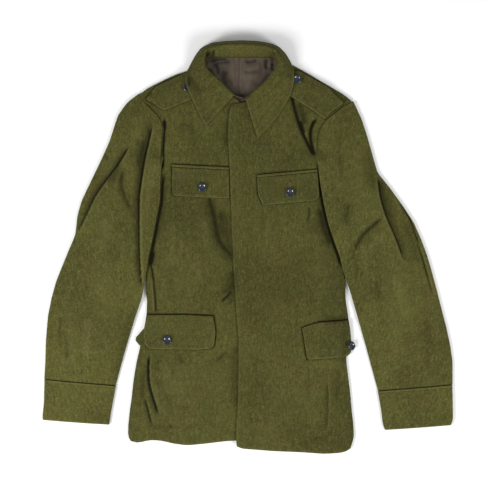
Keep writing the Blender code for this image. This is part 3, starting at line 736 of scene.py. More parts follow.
# Each crease's dark, core and skirt paint shade into the cloth's colour and its lit paints a highlight; rows
# with no depth or step are painted shade alone.
SLEEVE_CREASES = (
    # Right sleeve: elbow seam, the long fold and the soft pulls between them
    Crease(((-221, 196), (-246, 155), (-284, 104), (-302, 69), (-325, 20)),
           step=2.2, depth=1.6, width=9, reach=18, dark=0.72, core=1.5, skirt=9, lit=0.6),
    Crease(((-179, 236), (-188, 196), (-195, 165), (-202, 121), (-205, 95), (-205.5, 43),
            (-205, -8), (-203, -50), (-199, -84)), step=2.6, depth=3.2, width=13, reach=22, dark=0.85,
           core=1.5, skirt=11, lit=0.85),
    Crease(((-188, 226), (-200, 180), (-209, 130)), depth=2.6, width=14, dark=0.46, core=5, skirt=13,
           fade=34),
    Crease(((-212, 60), (-210, 10), (-209, -60)), dark=0.5, core=3, skirt=7, fade=24),
    Crease(((-182, 245), (-192, 205), (-200, 165)), dark=0.36, core=4, skirt=9, fade=24),
    Crease(((-238, 168), (-252, 140), (-272, 112)), depth=0.8, width=12, dark=0.4, skirt=13, fade=20),
    Crease(((-232, 60), (-228, 20), (-222, -30)), depth=0.8, width=14, dark=0.22, skirt=14, fade=24),
    Crease(((-262, 60), (-272, 20), (-276, -20)), depth=-1.2, width=16, lit=0.3, fade=24),
    Crease(((-352, -150), (-342, -190), (-346, -222)), depth=1.0, width=7, dark=0.36, core=2.6,
           skirt=7, fade=16),
    Crease(((-300, -130), (-306, -170), (-300, -214)), depth=-1.0, width=10, lit=0.35, fade=18),
    Crease(((-184, 150), (-188, 100), (-192, 40)), depth=-1.2, width=9, lit=0.3, fade=30),
    Crease(((-236, 150), (-240, 120), (-236, 96)), depth=1.0, width=8, dark=0.45, core=3, skirt=7,
           fade=14),
    Crease(((-236, 122), (-241, 115), (-226, 79), (-216, 57)), depth=1.3, width=7, dark=0.45),
    Crease(((-275, 176), (-262, 163)), depth=0.7, width=4.0, dark=0.3, skirt=4, fade=8),
    Crease(((-266, 190), (-255, 172)), depth=0.6, width=4.5, dark=0.22, skirt=5, fade=10),
    Crease(((-250, 208), (-262, 150), (-268, 110)), depth=-0.9, width=9, lit=0.2),
    Crease(((-216, 256), (-210, 230), (-206, 200)), depth=-0.9, width=9, lit=0.2, fade=14),
    Crease(((-300, 40), (-262, 5), (-232, -22)), depth=1.2, width=14, dark=0.2, skirt=12),
    Crease(((-330, -60), (-290, -100), (-254, -138)), depth=1.2, width=16, dark=0.16, skirt=13),
    Crease(((-300, -190), (-316, -215), (-330, -240)), depth=0.9, width=14, dark=0.15),
    Crease(((-340, -110), (-332, -170), (-340, -228)), depth=-1.0, width=16, lit=0.15),
    Crease(((-262, -40), (-276, -90), (-284, -150)), depth=-1.0, width=18, lit=0.15),
    Crease(((-212, -98), (-226, -150), (-242, -215), (-252, -262)), dark=0.30, core=8, skirt=14, fade=30),
    Crease(((-350, -120), (-356, -165), (-352, -210)), depth=0.8, width=7, dark=0.3, skirt=6),
    # Left sleeve: the folded elbow, its seam and the pulls inside it
    Crease(((296, -28), (283, 9), (269, 42), (259, 68), (251, 98), (246, 140)),
           step=2.6, depth=2.2, width=18, reach=20, dark=0.8, core=1.3, skirt=17, lit=0.7),
    Crease(((283, 95), (308, 54), (321, 18), (334, -28), (347, -71), (354, -99)),
           depth=1.1, width=3.4, step=0.8, reach=9, dark=0.7, core=1.5, skirt=5, lit=0.35),
    Crease(((290, 60), (312, 10), (330, -50)), depth=0.6, width=16, dark=0.38, skirt=18, fade=30),
    Crease(((276, -40), (290, -90), (300, -150)), depth=-1.5, width=16, lit=0.4, fade=30),
    Crease(((238, -40), (250, -100), (262, -170)), depth=1.2, width=18, dark=0.26, skirt=18, fade=30),
    Crease(((334, -120), (344, -170), (340, -220)), depth=1.0, width=10, dark=0.28, skirt=10, fade=24),
    Crease(((226, 190), (236, 140), (240, 100)), depth=0.8, width=14, dark=0.24, skirt=14, fade=24),
    Crease(((262, 60), (250, 50), (233, 36), (221, 24), (208, 5), (200, -18)), depth=2.4, width=8,
           dark=0.6, core=2.0, skirt=7),
    Crease(((266, 30), (252, 18), (236, 4), (224, -20)), depth=-1.4, width=8, lit=0.3, fade=16),
    Crease(((196, 92), (188, 60), (186, 30)), depth=1.0, width=9, dark=0.35, skirt=9, fade=18),
    Crease(((180, 236), (174, 190), (176, 120)), depth=1.0, width=11, dark=0.2, skirt=10),
    Crease(((206, 205), (214, 160), (216, 110)), depth=-1.2, width=12, lit=0.2),
    Crease(((188, 30), (200, -10), (212, -60)), depth=0.8, width=7, dark=0.3, skirt=6),
    Crease(((214, 20), (222, -10), (226, -60)), depth=-0.9, width=8, lit=0.25),
    Crease(((322, -60), (296, -105), (262, -150)), depth=1.2, width=16, dark=0.16, skirt=13),
    Crease(((300, -180), (322, -215), (340, -245)), depth=0.9, width=14, dark=0.15),
    Crease(((262, -90), (276, -150), (290, -210)), depth=-0.9, width=16, lit=0.15),
    Crease(((352, -120), (362, -170), (360, -225)), depth=-0.8, width=11, lit=0.15),
    Crease(((-160, 244), (-159.5, 222), (-161, 200), (-162.5, 176), (-163, 150)), dark=0.8, core=1.8,
           skirt=2.4, fade=8),
)


@dataclass
class FrontForm:
    """Where one front lies: its outline and its height over the back."""

    rows: Sequence[Sequence[float]]
    hem: Sequence[Point]
    relief: Relief
    closing: bool
    # Outlines of what lies on the front, each with the strength of the painted shadow round it.
    shadow_outlines: tuple[tuple[Array, float], ...] = ()
    spacing: float = 2.2
    table: Array = field(init=False)

    def __post_init__(self) -> None:
        """Soften the measured outline once."""
        self.table = resample(self.rows, self.spacing, 4.0)

    @property
    def sign(self) -> float:
        """+1 where the side is at positive x."""
        return 1.0 if self.closing else -1.0

    def column(self, index: int, y: Array) -> Array:
        """Read one column of the outline at heights y."""
        return np.interp(y, self.table[::-1, 0], self.table[::-1, index])

    def edge(self, y: Array) -> Array:
        """x of the inner edge."""
        return self.column(1, y)

    def side(self, y: Array) -> Array:
        """x of the side."""
        return self.column(2, y)

    def lift(self, y: Array) -> Array:
        """Height that the armhole seam adds."""
        return ARMHOLE_LIFT * ease(284, 250, y) * ease(112, 160, y)

    def hem_drop(self, x: Array, y: Array) -> Array:
        """How far a point near the hem lies below its row."""
        line = np.array(self.hem, float)
        last = self.rows[-1][0]
        fine = np.interp(x, line[:, 0], line[:, 1])
        near = 0.5 * (np.interp(x - 7, line[:, 0], line[:, 1]) + np.interp(x + 7, line[:, 0], line[:, 1]))
        return (0.5 * (fine + near) - last) * ease(HEM_START, last, y)

    def rest(self, x: Array, y: Array) -> Array:
        """Height of the underside without creases."""
        inward = np.maximum((self.side(y) - x) * self.sign, 0.0)
        height = FRONT_SEAT + FRONT_RISE * ease(0, RISE_WIDTH, inward)
        height = height + self.lift(y) * (1.0 - ease(0, 70, inward))
        throat = ease(284, 262, y)
        if self.closing:
            lap = 1.0 - ease(LAP_FLAT, LAP_FLAT + LAP_SLOPE, x - self.edge(y))
            hip = ease(-128, -150, y) * ease(-232, -214, y)
            height = height + LAP_RISE * lap * throat
            return height + HIP_ROLL * hip * ease(0, 14, inward) * (1.0 - ease(30, 75, inward))
        under = 1.0 - ease(0, UNDER_LAP_WIDTH, self.edge(y) - x)
        return height - UNDER_LAP_DROP * under * throat

    def read(self, x: Array, y: Array) -> tuple[Array, Array, Array]:
        """Underside height with creases, painted shade, and painted highlight with wear, at points."""
        height, dark, lit = self.relief.read(x, y)
        inward = np.maximum((self.side(y) - x) * self.sign, 0.0)
        hold = ease(2, 16, inward)
        return np.maximum(self.rest(x, y) + height * hold, CLOTH + 0.3), dark, lit

    def outline_shadow(self, x: Array, y: Array) -> Array:
        """Painted shadow on the cloth close round what lies on the front, strongest above and beside it,
        least below it.
        """
        dark = np.zeros(x.shape)
        for outline, strength in self.shadow_outlines:
            low, high = outline.min(0) - 9.0, outline.max(0) + 9.0
            near = (x > low[0]) & (x < high[0]) & (y > low[1]) & (y < high[1])
            depth, near_x, near_y = to_outline(x[near], y[near], outline)
            out_x, out_y = x[near] - near_x, y[near] - near_y
            away = np.hypot(out_x, out_y) + 1e-6
            facing = 0.42 + 0.58 * np.clip(np.maximum(out_y / away, 0.9 * np.abs(out_x) / away), 0, 1)
            value = strength * facing * bell(np.maximum(-depth, 0.0), 2.6)
            dark[near] = np.maximum(dark[near], value)
        return dark

    def top(self, x: Array, y: Array) -> Array:
        """Height of the front's upper face."""
        return self.read(x, y)[0] + CLOTH


@dataclass
class Shell:
    """Points and faces of one closed cloth mesh, with its painted shade, and its painted highlight with wear.
    """

    points: list[Array] = field(default_factory=list)
    shade: list[Array] = field(default_factory=list)
    lit_and_worn: list[Array] = field(default_factory=list)
    faces: list[tuple[int, ...]] = field(default_factory=list)
    count: int = 0

    def add(self, points: Array, shade: Array | None = None, lit_and_worn: Array | None = None) -> int:
        """Add points.

        Args:
            points: rows of x, y, z in millimetres.
            shade: painted shade of each point.
            lit_and_worn: painted highlight and wear of each point.

        Returns:
            The number of the first point.
        """
        first = self.count
        flat = points.reshape(-1, 3)
        blank = np.zeros(len(flat))
        self.points.append(flat)
        self.shade.append(blank if shade is None else np.asarray(shade, float).reshape(-1))
        self.lit_and_worn.append(blank if lit_and_worn is None else np.asarray(lit_and_worn, float).reshape(-1))
        self.count += len(flat)
        return first

    def join(self, other: "Shell") -> None:
        """Take in the points and faces of another shell."""
        self.faces += [tuple(corner + self.count for corner in face) for face in other.faces]
        self.points += other.points
        self.shade += other.shade
        self.lit_and_worn += other.lit_and_worn
        self.count += other.count

    def quads(self, first: int, rows: int, columns: int, wrap: bool = False) -> None:
        """Join a grid of points with faces."""
        steps = columns if wrap else columns - 1
        for row in range(rows - 1):
            for step in range(steps):
                near = first + row * columns + step
                far = first + row * columns + (step + 1) % columns
                self.faces.append((near, far, far + columns, near + columns))

    def bridge(self, upper: Sequence[int], lower: Sequence[int]) -> None:
        """Join two runs of points with a wall."""
        for index in range(len(upper) - 1):
            self.faces.append((upper[index], upper[index + 1], lower[index + 1], lower[index]))

    def build(self, name: str, material: bpy.types.Material) -> bpy.types.Object:
        """Make the object, with even normals and smooth shading."""
        mesh = bpy.data.meshes.new(name)
        points = np.concatenate(self.points) * MM
        points[:, 2] = np.maximum(points[:, 2], 0.0)
        mesh.from_pydata([tuple(point) for point in points.tolist()], [], self.faces)
        for label, parts in (("shade", self.shade), ("lit_and_worn", self.lit_and_worn)):
            values = np.clip(np.concatenate(parts), 0.0, 1.0).astype(np.float32)
            mesh.attributes.new(label, "FLOAT", "POINT").data.foreach_set("value", values)
        work = bmesh.new()
        work.from_mesh(mesh)
        bmesh.ops.recalc_face_normals(work, faces=work.faces)
        work.to_mesh(mesh)
        work.free()
        mesh.shade_smooth()
        mesh.materials.append(material)
        made = bpy.data.objects.new(name, mesh)
        bpy.context.scene.collection.objects.link(made)
        return made


def grid_shell(top: Array, bottom: Array, shade: Array | None = None, lit_and_worn: Array | None = None) -> Shell:
    """Close a grid of upper points and one of lower points into a sheet.

    Args:
        top: rows by columns of points.
        bottom: the same for the underside.
        shade: painted shade of the upper points.
        lit_and_worn: painted highlight and wear of the upper points.

    Returns:
        The closed shell.
    """
    rows, columns = top.shape[:2]
    shell = Shell()
    high = shell.add(top, shade, lit_and_worn)
    low = shell.add(bottom)
    shell.quads(high, rows, columns)
    shell.quads(low, rows, columns)
    ring = [(0, column) for column in range(columns)]
    ring += [(row, columns - 1) for row in range(1, rows)]
    ring += [(rows - 1, column) for column in range(columns - 2, -1, -1)]
    ring += [(row, 0) for row in range(rows - 2, -1, -1)]
    shell.bridge([high + row * columns + column for row, column in ring],
                 [low + row * columns + column for row, column in ring])
    return shell


def rounded(outline: Sequence[Point], radii: Sequence[float]) -> Array:
    """Round the corners of a closed outline, each by its own radius."""
    points = np.array(outline, float)
    made = []
    for index, (corner, radius) in enumerate(zip(points, radii)):
        before = points[index - 1] - corner
        after = points[(index + 1) % len(points)] - corner
        reach = min(radius, 0.4 * np.hypot(*before), 0.4 * np.hypot(*after))
        start = corner + before / np.hypot(*before) * reach
        end = corner + after / np.hypot(*after) * reach
        for share in np.linspace(0.0, 1.0, 5):
            made.append((1 - share) ** 2 * start + 2 * share * (1 - share) * corner + share ** 2 * end)
    return np.array(made)


def to_outline(x: Array, y: Array, outline: Array) -> tuple[Array, Array, Array]:
    """Distance to an anticlockwise outline, positive inside, and the nearest point on it."""
    best = np.full(x.shape, 1e9)
    near_x = np.zeros(x.shape)
    near_y = np.zeros(x.shape)
    inside = np.zeros(x.shape, bool)
    for (x0, y0), (x1, y1) in zip(outline, np.roll(outline, -1, axis=0)):
        run_x, run_y = x1 - x0, y1 - y0
        share = np.clip(((x - x0) * run_x + (y - y0) * run_y) / (run_x ** 2 + run_y ** 2 + 1e-9), 0, 1)
        px, py = x0 + run_x * share, y0 + run_y * share
        away = np.hypot(x - px, y - py)
        closer = away < best
        best = np.where(closer, away, best)
        near_x = np.where(closer, px, near_x)
        near_y = np.where(closer, py, near_y)
        crosses = ((y0 > y) != (y1 > y)) & (x < x0 + (y - y0) * run_x / (run_y + 1e-12))
        inside = inside ^ crosses
    return np.where(inside, best, -best), near_x, near_y


def patch_shell(outline: Array, spacing: float, turn: float,
                dress: Callable[..., tuple[Array, ...]]) -> Shell:
    """Fill an outline with a fine even grid that ends exactly on it, and close it into a sheet.

    Args:
        outline: the closed outline, anticlockwise.
        spacing: size of the grid.
        turn: direction of the grid, in degrees.
        dress: takes x, y and the distance from the outline, gives upper and lower heights, painted shade, and
            painted highlight with wear.

    Returns:
        The closed shell.
    """
    angle = math.radians(turn)
    along = np.array([math.cos(angle), math.sin(angle)])
    up = np.array([-along[1], along[0]])
    spans = [outline @ axis for axis in (along, up)]
    lines = [np.arange(span.min() - spacing, span.max() + 2 * spacing, spacing) for span in spans]
    first, second = np.meshgrid(*lines)
    x = first * along[0] + second * up[0]
    y = first * along[1] + second * up[1]
    depth, near_x, near_y = to_outline(x, y, outline)
    snap = np.abs(depth) < 0.55 * spacing
    x = np.where(snap, near_x, x)
    y = np.where(snap, near_y, y)
    depth = np.where(snap, 0.0, depth)
    keep = depth >= 0.0
    number = np.full(keep.shape, -1)
    number[keep] = np.arange(int(keep.sum()))
    faces = []
    rows, columns = keep.shape
    for row in range(rows - 1):
        for column in range(columns - 1):
            corners = [number[row, column], number[row, column + 1],
                       number[row + 1, column + 1], number[row + 1, column]]
            held = [int(corner) for corner in corners if corner >= 0]
            if len(held) >= 3:
                faces.append(tuple(held))
    used = np.zeros(int(keep.sum()), bool)
    used[[corner for face in faces for corner in face]] = True
    renumber = np.cumsum(used) - 1
    faces = [tuple(int(renumber[corner]) for corner in face) for face in faces]
    flat_x, flat_y, flat_depth = (values[keep][used] for values in (x, y, depth))
    high, low, shade, lit_and_worn = dress(flat_x, flat_y, flat_depth)
    shell = Shell()
    shell.add(np.stack([flat_x, flat_y, high], axis=1), shade, lit_and_worn)
    below = shell.add(np.stack([flat_x, flat_y, low], axis=1))
    edges: dict[tuple[int, int], int] = {}
    for face in faces:
        for start, end in zip(face, face[1:] + face[:1]):
            edges[(start, end)] = 1
    walls = [(start, end) for start, end in edges if (end, start) not in edges]
    shell.faces = list(faces)
    shell.faces += [tuple(corner + below for corner in reversed(face)) for face in faces]
    shell.faces += [(end, start, start + below, end + below) for start, end in walls]
    return shell


def turned_edge(depth: Array, round_off: float = 1.3, raise_by: float = 0.7,
                line: float = TOPSTITCH) -> Array:
    """Height across a turned and topstitched edge: a rounded rim, a raised strip and a groove.

    Args:
        depth: distance in from the edge.
        round_off: radius of the rim.
        raise_by: how much thicker the turned strip is.
        line: distance of the topstitching.

    Returns:
        Height to add at each point.
    """
    rim = np.clip(1.0 - depth / round_off, 0.0, 1.0)
    edge = -(0.5 + raise_by) * (1.0 - np.sqrt(np.maximum(1.0 - rim ** 2, 0.0)))
    strip = raise_by * (1.0 - ease(line - 1.6, line + 2.4, depth))
    return edge + strip - (0.3 + 0.3 * raise_by) * bell(depth - line, 0.95)


def tree_of(piece: bpy.types.Object) -> BVHTree:
    """A search tree over a piece's faces."""
    mesh = piece.data
    return BVHTree.FromPolygons([vertex.co for vertex in mesh.vertices],
                                [list(face.vertices) for face in mesh.polygons])


def publish(piece: bpy.types.Object, nodes: Sequence[str], slot: Slot) -> bpy.types.Object:
    """Let a piece ride on the jacket and stand for its nodes."""
    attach(piece, "root")
    if nodes:
        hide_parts(*nodes)
    LOG.info("%s: %d faces", piece.name, len(piece.data.polygons))
    return piece


@dataclass(frozen=True)
class Cut:
    """Flat size of a piece before it was sewn, in metres, and its area where it isn't a rectangle."""

    width: float
    length: float
    area: float

    def declare(self, piece: bpy.types.Object, rests_on: Sequence[str], parts: Sequence[Any] = ()) -> None:
        """Does nothing with the piece, what it rests on or its parts."""


@dataclass
class Stitching:
    """A row of sewn thread that dips into the cloth between stitches."""

    material: bpy.types.Material
    pitch: float = 3.1
    radius: float = 0.24
    sides: int = 5

    def seat(self, piece: bpy.types.Object, lines: Sequence[Array]) -> list[tuple[Array, Array]]:
        """Put flat lines on a piece from above, as points and normals in millimetres."""
        tree = tree_of(piece)
        seated = []
        for line in lines:
            steps = np.hypot(*np.diff(line, axis=0).T)
            along = np.concatenate([[0.0], np.cumsum(steps)])
            count = max(2, int(along[-1] / self.pitch))
            spots = np.linspace(0.0, along[-1], count * 4 + 1)
            points, normals = [], []
            for x, y in zip(np.interp(spots, along, line[:, 0]), np.interp(spots, along, line[:, 1])):
                hit = tree.ray_cast(Vector((x * MM, y * MM, 0.2)), Vector((0, 0, -1)))
                if hit[0] is not None:
                    points.append([hit[0].x / MM, hit[0].y / MM, hit[0].z / MM])
                    normals.append(list(hit[1] if hit[1].z > 0 else -hit[1]))
            if len(points) > 8:
                seated.append((np.array(points), np.array(normals)))
        return seated

    def sew(self, name: str, runs: Sequence[tuple[Array, Array]]) -> bpy.types.Object:
        """Make the thread of one piece.

        Args:
            name: name of the new piece.
            runs: points and normals along each row of stitches, four to a stitch.

        Returns:
            The thread.
        """
        shell = Shell()
        for points, normals in runs:
            dip = np.tile([-0.34, 0.06, 0.16, 0.06], len(points) // 4 + 1)[:len(points)]
            spine = points + normals * dip[:, None]
            ahead = np.gradient(spine, axis=0)
            ahead /= np.linalg.norm(ahead, axis=1)[:, None] + 1e-9
            across = np.cross(ahead, normals)
            across /= np.linalg.norm(across, axis=1)[:, None] + 1e-9
            lift = np.cross(across, ahead)
            turns = np.arange(self.sides) / self.sides * math.tau
            rings = (spine[:, None] + self.radius * (np.cos(turns)[None, :, None] * across[:, None]
                                                     + np.sin(turns)[None, :, None] * lift[:, None]))
            first = shell.add(rings)
            shell.quads(first, len(points), self.sides, wrap=True)
            last = first + (len(points) - 1) * self.sides
            shell.faces.append(tuple(range(first, first + self.sides)))
            shell.faces.append(tuple(reversed(range(last, last + self.sides))))
        piece = shell.build(name, self.material)
        return publish(piece, (), Slot.WOOL)


def inset_line(outline: Array, distance: float) -> Array:
    """A closed outline moved inwards, as a run of points.

    Args:
        outline: anticlockwise outline.
        distance: how far in.

    Returns:
        The points, with the first one repeated at the end.
    """
    dense = []
    for start, end in zip(outline, np.roll(outline, -1, axis=0)):
        run = end - start
        length = np.hypot(*run)
        count = max(1, int(length / 1.5))
        inward = np.array([-run[1], run[0]]) / (length + 1e-9)
        for share in np.arange(count) / count:
            dense.append(start + run * share + inward * distance)
    dense = np.array(dense)
    depth = to_outline(dense[:, 0], dense[:, 1], outline)[0]
    kept = dense[depth > distance - 0.25]
    return np.concatenate([kept, kept[:1]])


@dataclass
class Fronts:
    """Both fronts, the left one lapping over the right."""

    wool: bpy.types.Material
    thread: Stitching
    right: FrontForm
    left: FrontForm
    rim: tuple[float, ...] = (0.0, 0.35, 0.8, 1.4, 2.2, 3.4, 5.0, 6.4, 7.4, 8.0, 8.5, 9.0, 9.5, 10.0,
                              10.8, 12.0, 13.6)
    spacing: float = 2.25
    hem_rows: tuple[float, ...] = (0.0, 0.5, 1.1, 1.9)
    cuts: tuple[Cut, Cut] = (Cut(0.245, 0.715, 0.136), Cut(0.245, 0.740, 0.150))

    def points(self, form: FrontForm) -> tuple[Array, Array, Array, Array]:
        """Upper and lower points of a front with their painted shade, and painted highlight with wear."""
        table = form.table
        last = table[-1]
        extra = np.array([[last[0] + drop, last[1], last[2]] for drop in reversed(self.hem_rows[:-1])])
        body = table[table[:, 0] > last[0] + self.hem_rows[-1] + 0.4]
        table = np.concatenate([body, [[last[0] + self.hem_rows[-1], last[1], last[2]]], extra])
        base = clustered(190.0, self.rim, self.spacing)
        widths = np.abs(table[:, 2] - table[:, 1])[:, None]
        small = np.minimum(1.0, widths / 62.0)
        reach = self.rim[-1]
        share = (base - reach) / (190.0 - 2 * reach)
        inner = reach * small + (widths - 2 * reach * small) * share
        offsets = np.where(base < reach, base * small, inner)
        offsets = np.where(base > 190.0 - reach, widths - (190.0 - base) * small, offsets)
        side = table[:, 2][:, None]
        x = side - form.sign * offsets
        y = table[:, 0][:, None] + 0.0 * x
        above_hem = y - last[0]
        y = y + form.hem_drop(x, y)
        under, dark, lit = form.read(x, y)
        to_edge = widths - offsets
        rim = np.clip(1.0 - np.minimum(offsets, above_hem * 0.9) / 1.3, 0.0, 1.0)
        round_off = 0.65 * (1.0 - np.sqrt(np.maximum(1.0 - rim ** 2, 0.0)))
        throat = ease(284, 262, y) if form.closing else 0.0 * y
        turned = turned_edge(to_edge, raise_by=0.3 * throat)
        hem = 0.45 * (1.0 - ease(26, 31, above_hem)) - 0.25 * bell(above_hem - 29, 1.6)
        high = under + CLOTH + turned - round_off + hem * ease(-250, -300, y)
        low = under + round_off + 0.4 * bell(to_edge, 1.2)
        # Painted shadow round what lies on the front.
        dark = np.maximum(dark, form.outline_shadow(x, y))
        if form.closing:
            # Painted shade in the topstitch groove and a painted highlight on the closing edge's rim.
            dark = np.maximum(dark, 0.22 * bell(to_edge - TOPSTITCH, 0.9) * throat)
            lit = np.maximum(lit, 0.35 * bell(to_edge - 1.2, 1.6) * throat)
        # Painted shade along the side of the lower front.
        side_shade = 0.22 * bell(offsets, 16.0) * ease(60, 10, y)
        dark = np.maximum(dark, side_shade)
        # Painted highlight along the hem.
        lit = np.maximum(lit, 0.3 * bell(above_hem - 1.5, 2.4))
        top = np.stack([x, y, high], axis=2)
        bottom = np.stack([x, y, np.minimum(low, high - 0.5)], axis=2)
        return top, bottom, dark, lit

    def build(self) -> list[bpy.types.Object]:
        """Make both fronts and the closing edge's stitches."""
        made = []
        for name, form, cut in (("front_right", self.right, self.cuts[0]),
                                ("front_left", self.left, self.cuts[1])):
            top, bottom, dark, lit = self.points(form)
            piece = grid_shell(top, bottom, dark, lit).build(name + "_cloth", self.wool)
            publish(piece, (name,), Slot.WOOL)
            parts = []
            if form.closing:
                ys = np.linspace(268, -380, 300)
                line = np.stack([form.edge(ys) + TOPSTITCH, ys], axis=1)
                parts = [self.thread.sew("front_left_stitching", self.thread.seat(piece, [line]))]
            cut.declare(piece, ["back"], parts)
            made.append(piece)
        return made


@dataclass
class Back:
    """The back panel, which everything lies on, and the lining inside the neck."""

    wool: bpy.types.Material
    cotton: bpy.types.Material
    right: FrontForm
    left: FrontForm
    seam_x: float = -16.4
    back_cut: Cut = Cut(0.430, 0.720, 0.262)
    lining_cut: Cut = Cut(0.160, 0.100, 0.0105)

    def panel(self) -> bpy.types.Object:
        """The back as one flat panel with a rounded edge."""
        below = np.arange(283.0, -361.0, -5.0)
        rows = [list(row) for row in BACK_SHOULDERS]
        rows += [[y, float(self.right.side(y)), float(self.left.side(y))] for y in below]
        rows += [[-361.0, float(self.right.side(-361.0)), float(self.left.side(-361.0))]]
        table = resample(rows, 8.0, 2.0)
        base = clustered(1.0, (0.0, 0.0012, 0.003, 0.006), 0.03)
        x = table[:, 1][:, None] + (table[:, 2] - table[:, 1])[:, None] * base
        y = table[:, 0][:, None] + 0.0 * x
        width = (table[:, 2] - table[:, 1])[:, None]
        away = np.minimum(np.minimum(base, 1 - base) * width, np.minimum(355 - y, y + 361) + 0.01)
        rim = 0.6 * (1.0 - ease(0, 1.3, away))
        high = CLOTH - rim
        low = rim
        shell = grid_shell(np.stack([x, y, high], 2), np.stack([x, y, low], 2))
        piece = publish(shell.build("back_cloth", self.wool), ("back",), Slot.WOOL)
        self.back_cut.declare(piece, ["back"])
        return piece

    def lining(self) -> bpy.types.Object:
        """The cotton that shows inside the neck, with its centre seam and soft folds."""
        table = resample(LINING_ROWS, 1.3, 3.0)
        share = np.linspace(0.0, 1.0, 108)
        x = table[:, 1][:, None] + (table[:, 2] - table[:, 1])[:, None] * share
        y = table[:, 0][:, None] + 0.0 * x
        # Folds of the lining, with painted shade in their troughs and painted highlight on their ridges; rows
        # with no depth are painted shade alone.
        folds = Relief((
            Crease(((-84, 352), (-74, 345), (-68, 334), (-56, 318)), depth=-2.4, width=5, lit=0.3, fade=8),
            Crease(((-80, 342), (-72, 330), (-58, 310), (-44, 292)), depth=1.6, width=6, dark=1.0,
                   core=4, skirt=7, fade=10),
            Crease(((-66, 352), (-58, 340), (-54, 322)), depth=1.2, width=4, dark=0.9, core=2.5, skirt=5,
                   fade=8),
            Crease(((-44, 340), (-46, 318), (-36, 290)), depth=1.0, width=6, dark=0.7, core=4, skirt=8,
                   fade=10),
            Crease(((-74, 352), (-54, 356), (-36, 357)), depth=1.0, width=4, dark=0.9, core=3, skirt=5,
                   fade=8),
            Crease(((-66, 346), (-48, 350), (-30, 352)), depth=0.8, width=3, dark=0.7, skirt=4, fade=8),
            Crease(((-8, 353), (6, 351), (20, 356)), depth=0.9, width=3, dark=0.9, core=2.5, skirt=4,
                   fade=7),
            Crease(((38, 360), (35, 346), (38, 334)), depth=1.8, width=3.4, dark=1.0, core=2.4, skirt=4,
                   fade=7),
            Crease(((44, 360), (43, 348), (48, 340)), depth=-1.8, width=4, lit=0.35, fade=7),
            Crease(((50, 352), (47, 342), (52, 332)), depth=1.4, width=3.4, dark=0.95, core=2.6, skirt=5,
                   fade=7),
            Crease(((46, 334), (34, 314), (18, 296)), depth=1.0, width=8, dark=0.65, core=5, skirt=9,
                   fade=10),
            Crease(((0, 345), (8, 322), (4, 296)), depth=-0.8, width=9, lit=0.5, fade=10),
            Crease(((-30, 340), (-28, 322), (-25, 300)), depth=-0.6, width=6, lit=0.45, fade=10),
            Crease(((-40, 296), (-20, 288), (4, 288), (20, 296)), dark=0.6, core=6, skirt=8, fade=10),
            Crease(((-10, 334), (6, 331), (24, 334)), depth=0.6, width=3, dark=0.5, skirt=4, fade=8),
            Crease(((-4, 344), (10, 340), (24, 344)), depth=-0.6, width=4, lit=0.4, fade=8),
            Crease(((-40, 306), (-32, 300), (-24, 304)), depth=0.5, width=2.4, dark=0.4, skirt=3, fade=5),
        ), ((0.21, 0.05, 0.0, 0.10), (0.12, -0.07, 1.0, 0.12)))
        height, dark, lit = folds.read(x, y)
        seam = x - (self.seam_x + 0.6 * np.sin(y * 0.06))
        puff = 0.5 * bell(np.abs(seam) - 2.6, 1.8)
        height = height + puff - 0.9 * bell(seam, 0.9)
        dark = np.maximum(dark, 0.7 * bell(seam, 0.9))
        away = np.minimum(share, 1 - share) * (table[:, 2] - table[:, 1])[:, None]
        base = 3.4 + 0.018 * (y - 268) + height * ease(0, 8, away) * ease(0, 6, 363 - y)
        high = np.maximum(base, CLOTH + 0.9)
        top = np.stack([x, y, high], 2)
        bottom = np.stack([x, y, np.maximum(high - LINING, CLOTH + 0.15)], 2)
        piece = grid_shell(top, bottom, dark, lit).build("lining_cloth", self.cotton)
        publish(piece, ("lining_back",), Slot.LINING)
        self.lining_cut.declare(piece, ["back"])
        return piece

    def build(self) -> list[bpy.types.Object]:
        """Make the back and the lining."""
        return [self.panel(), self.lining()]


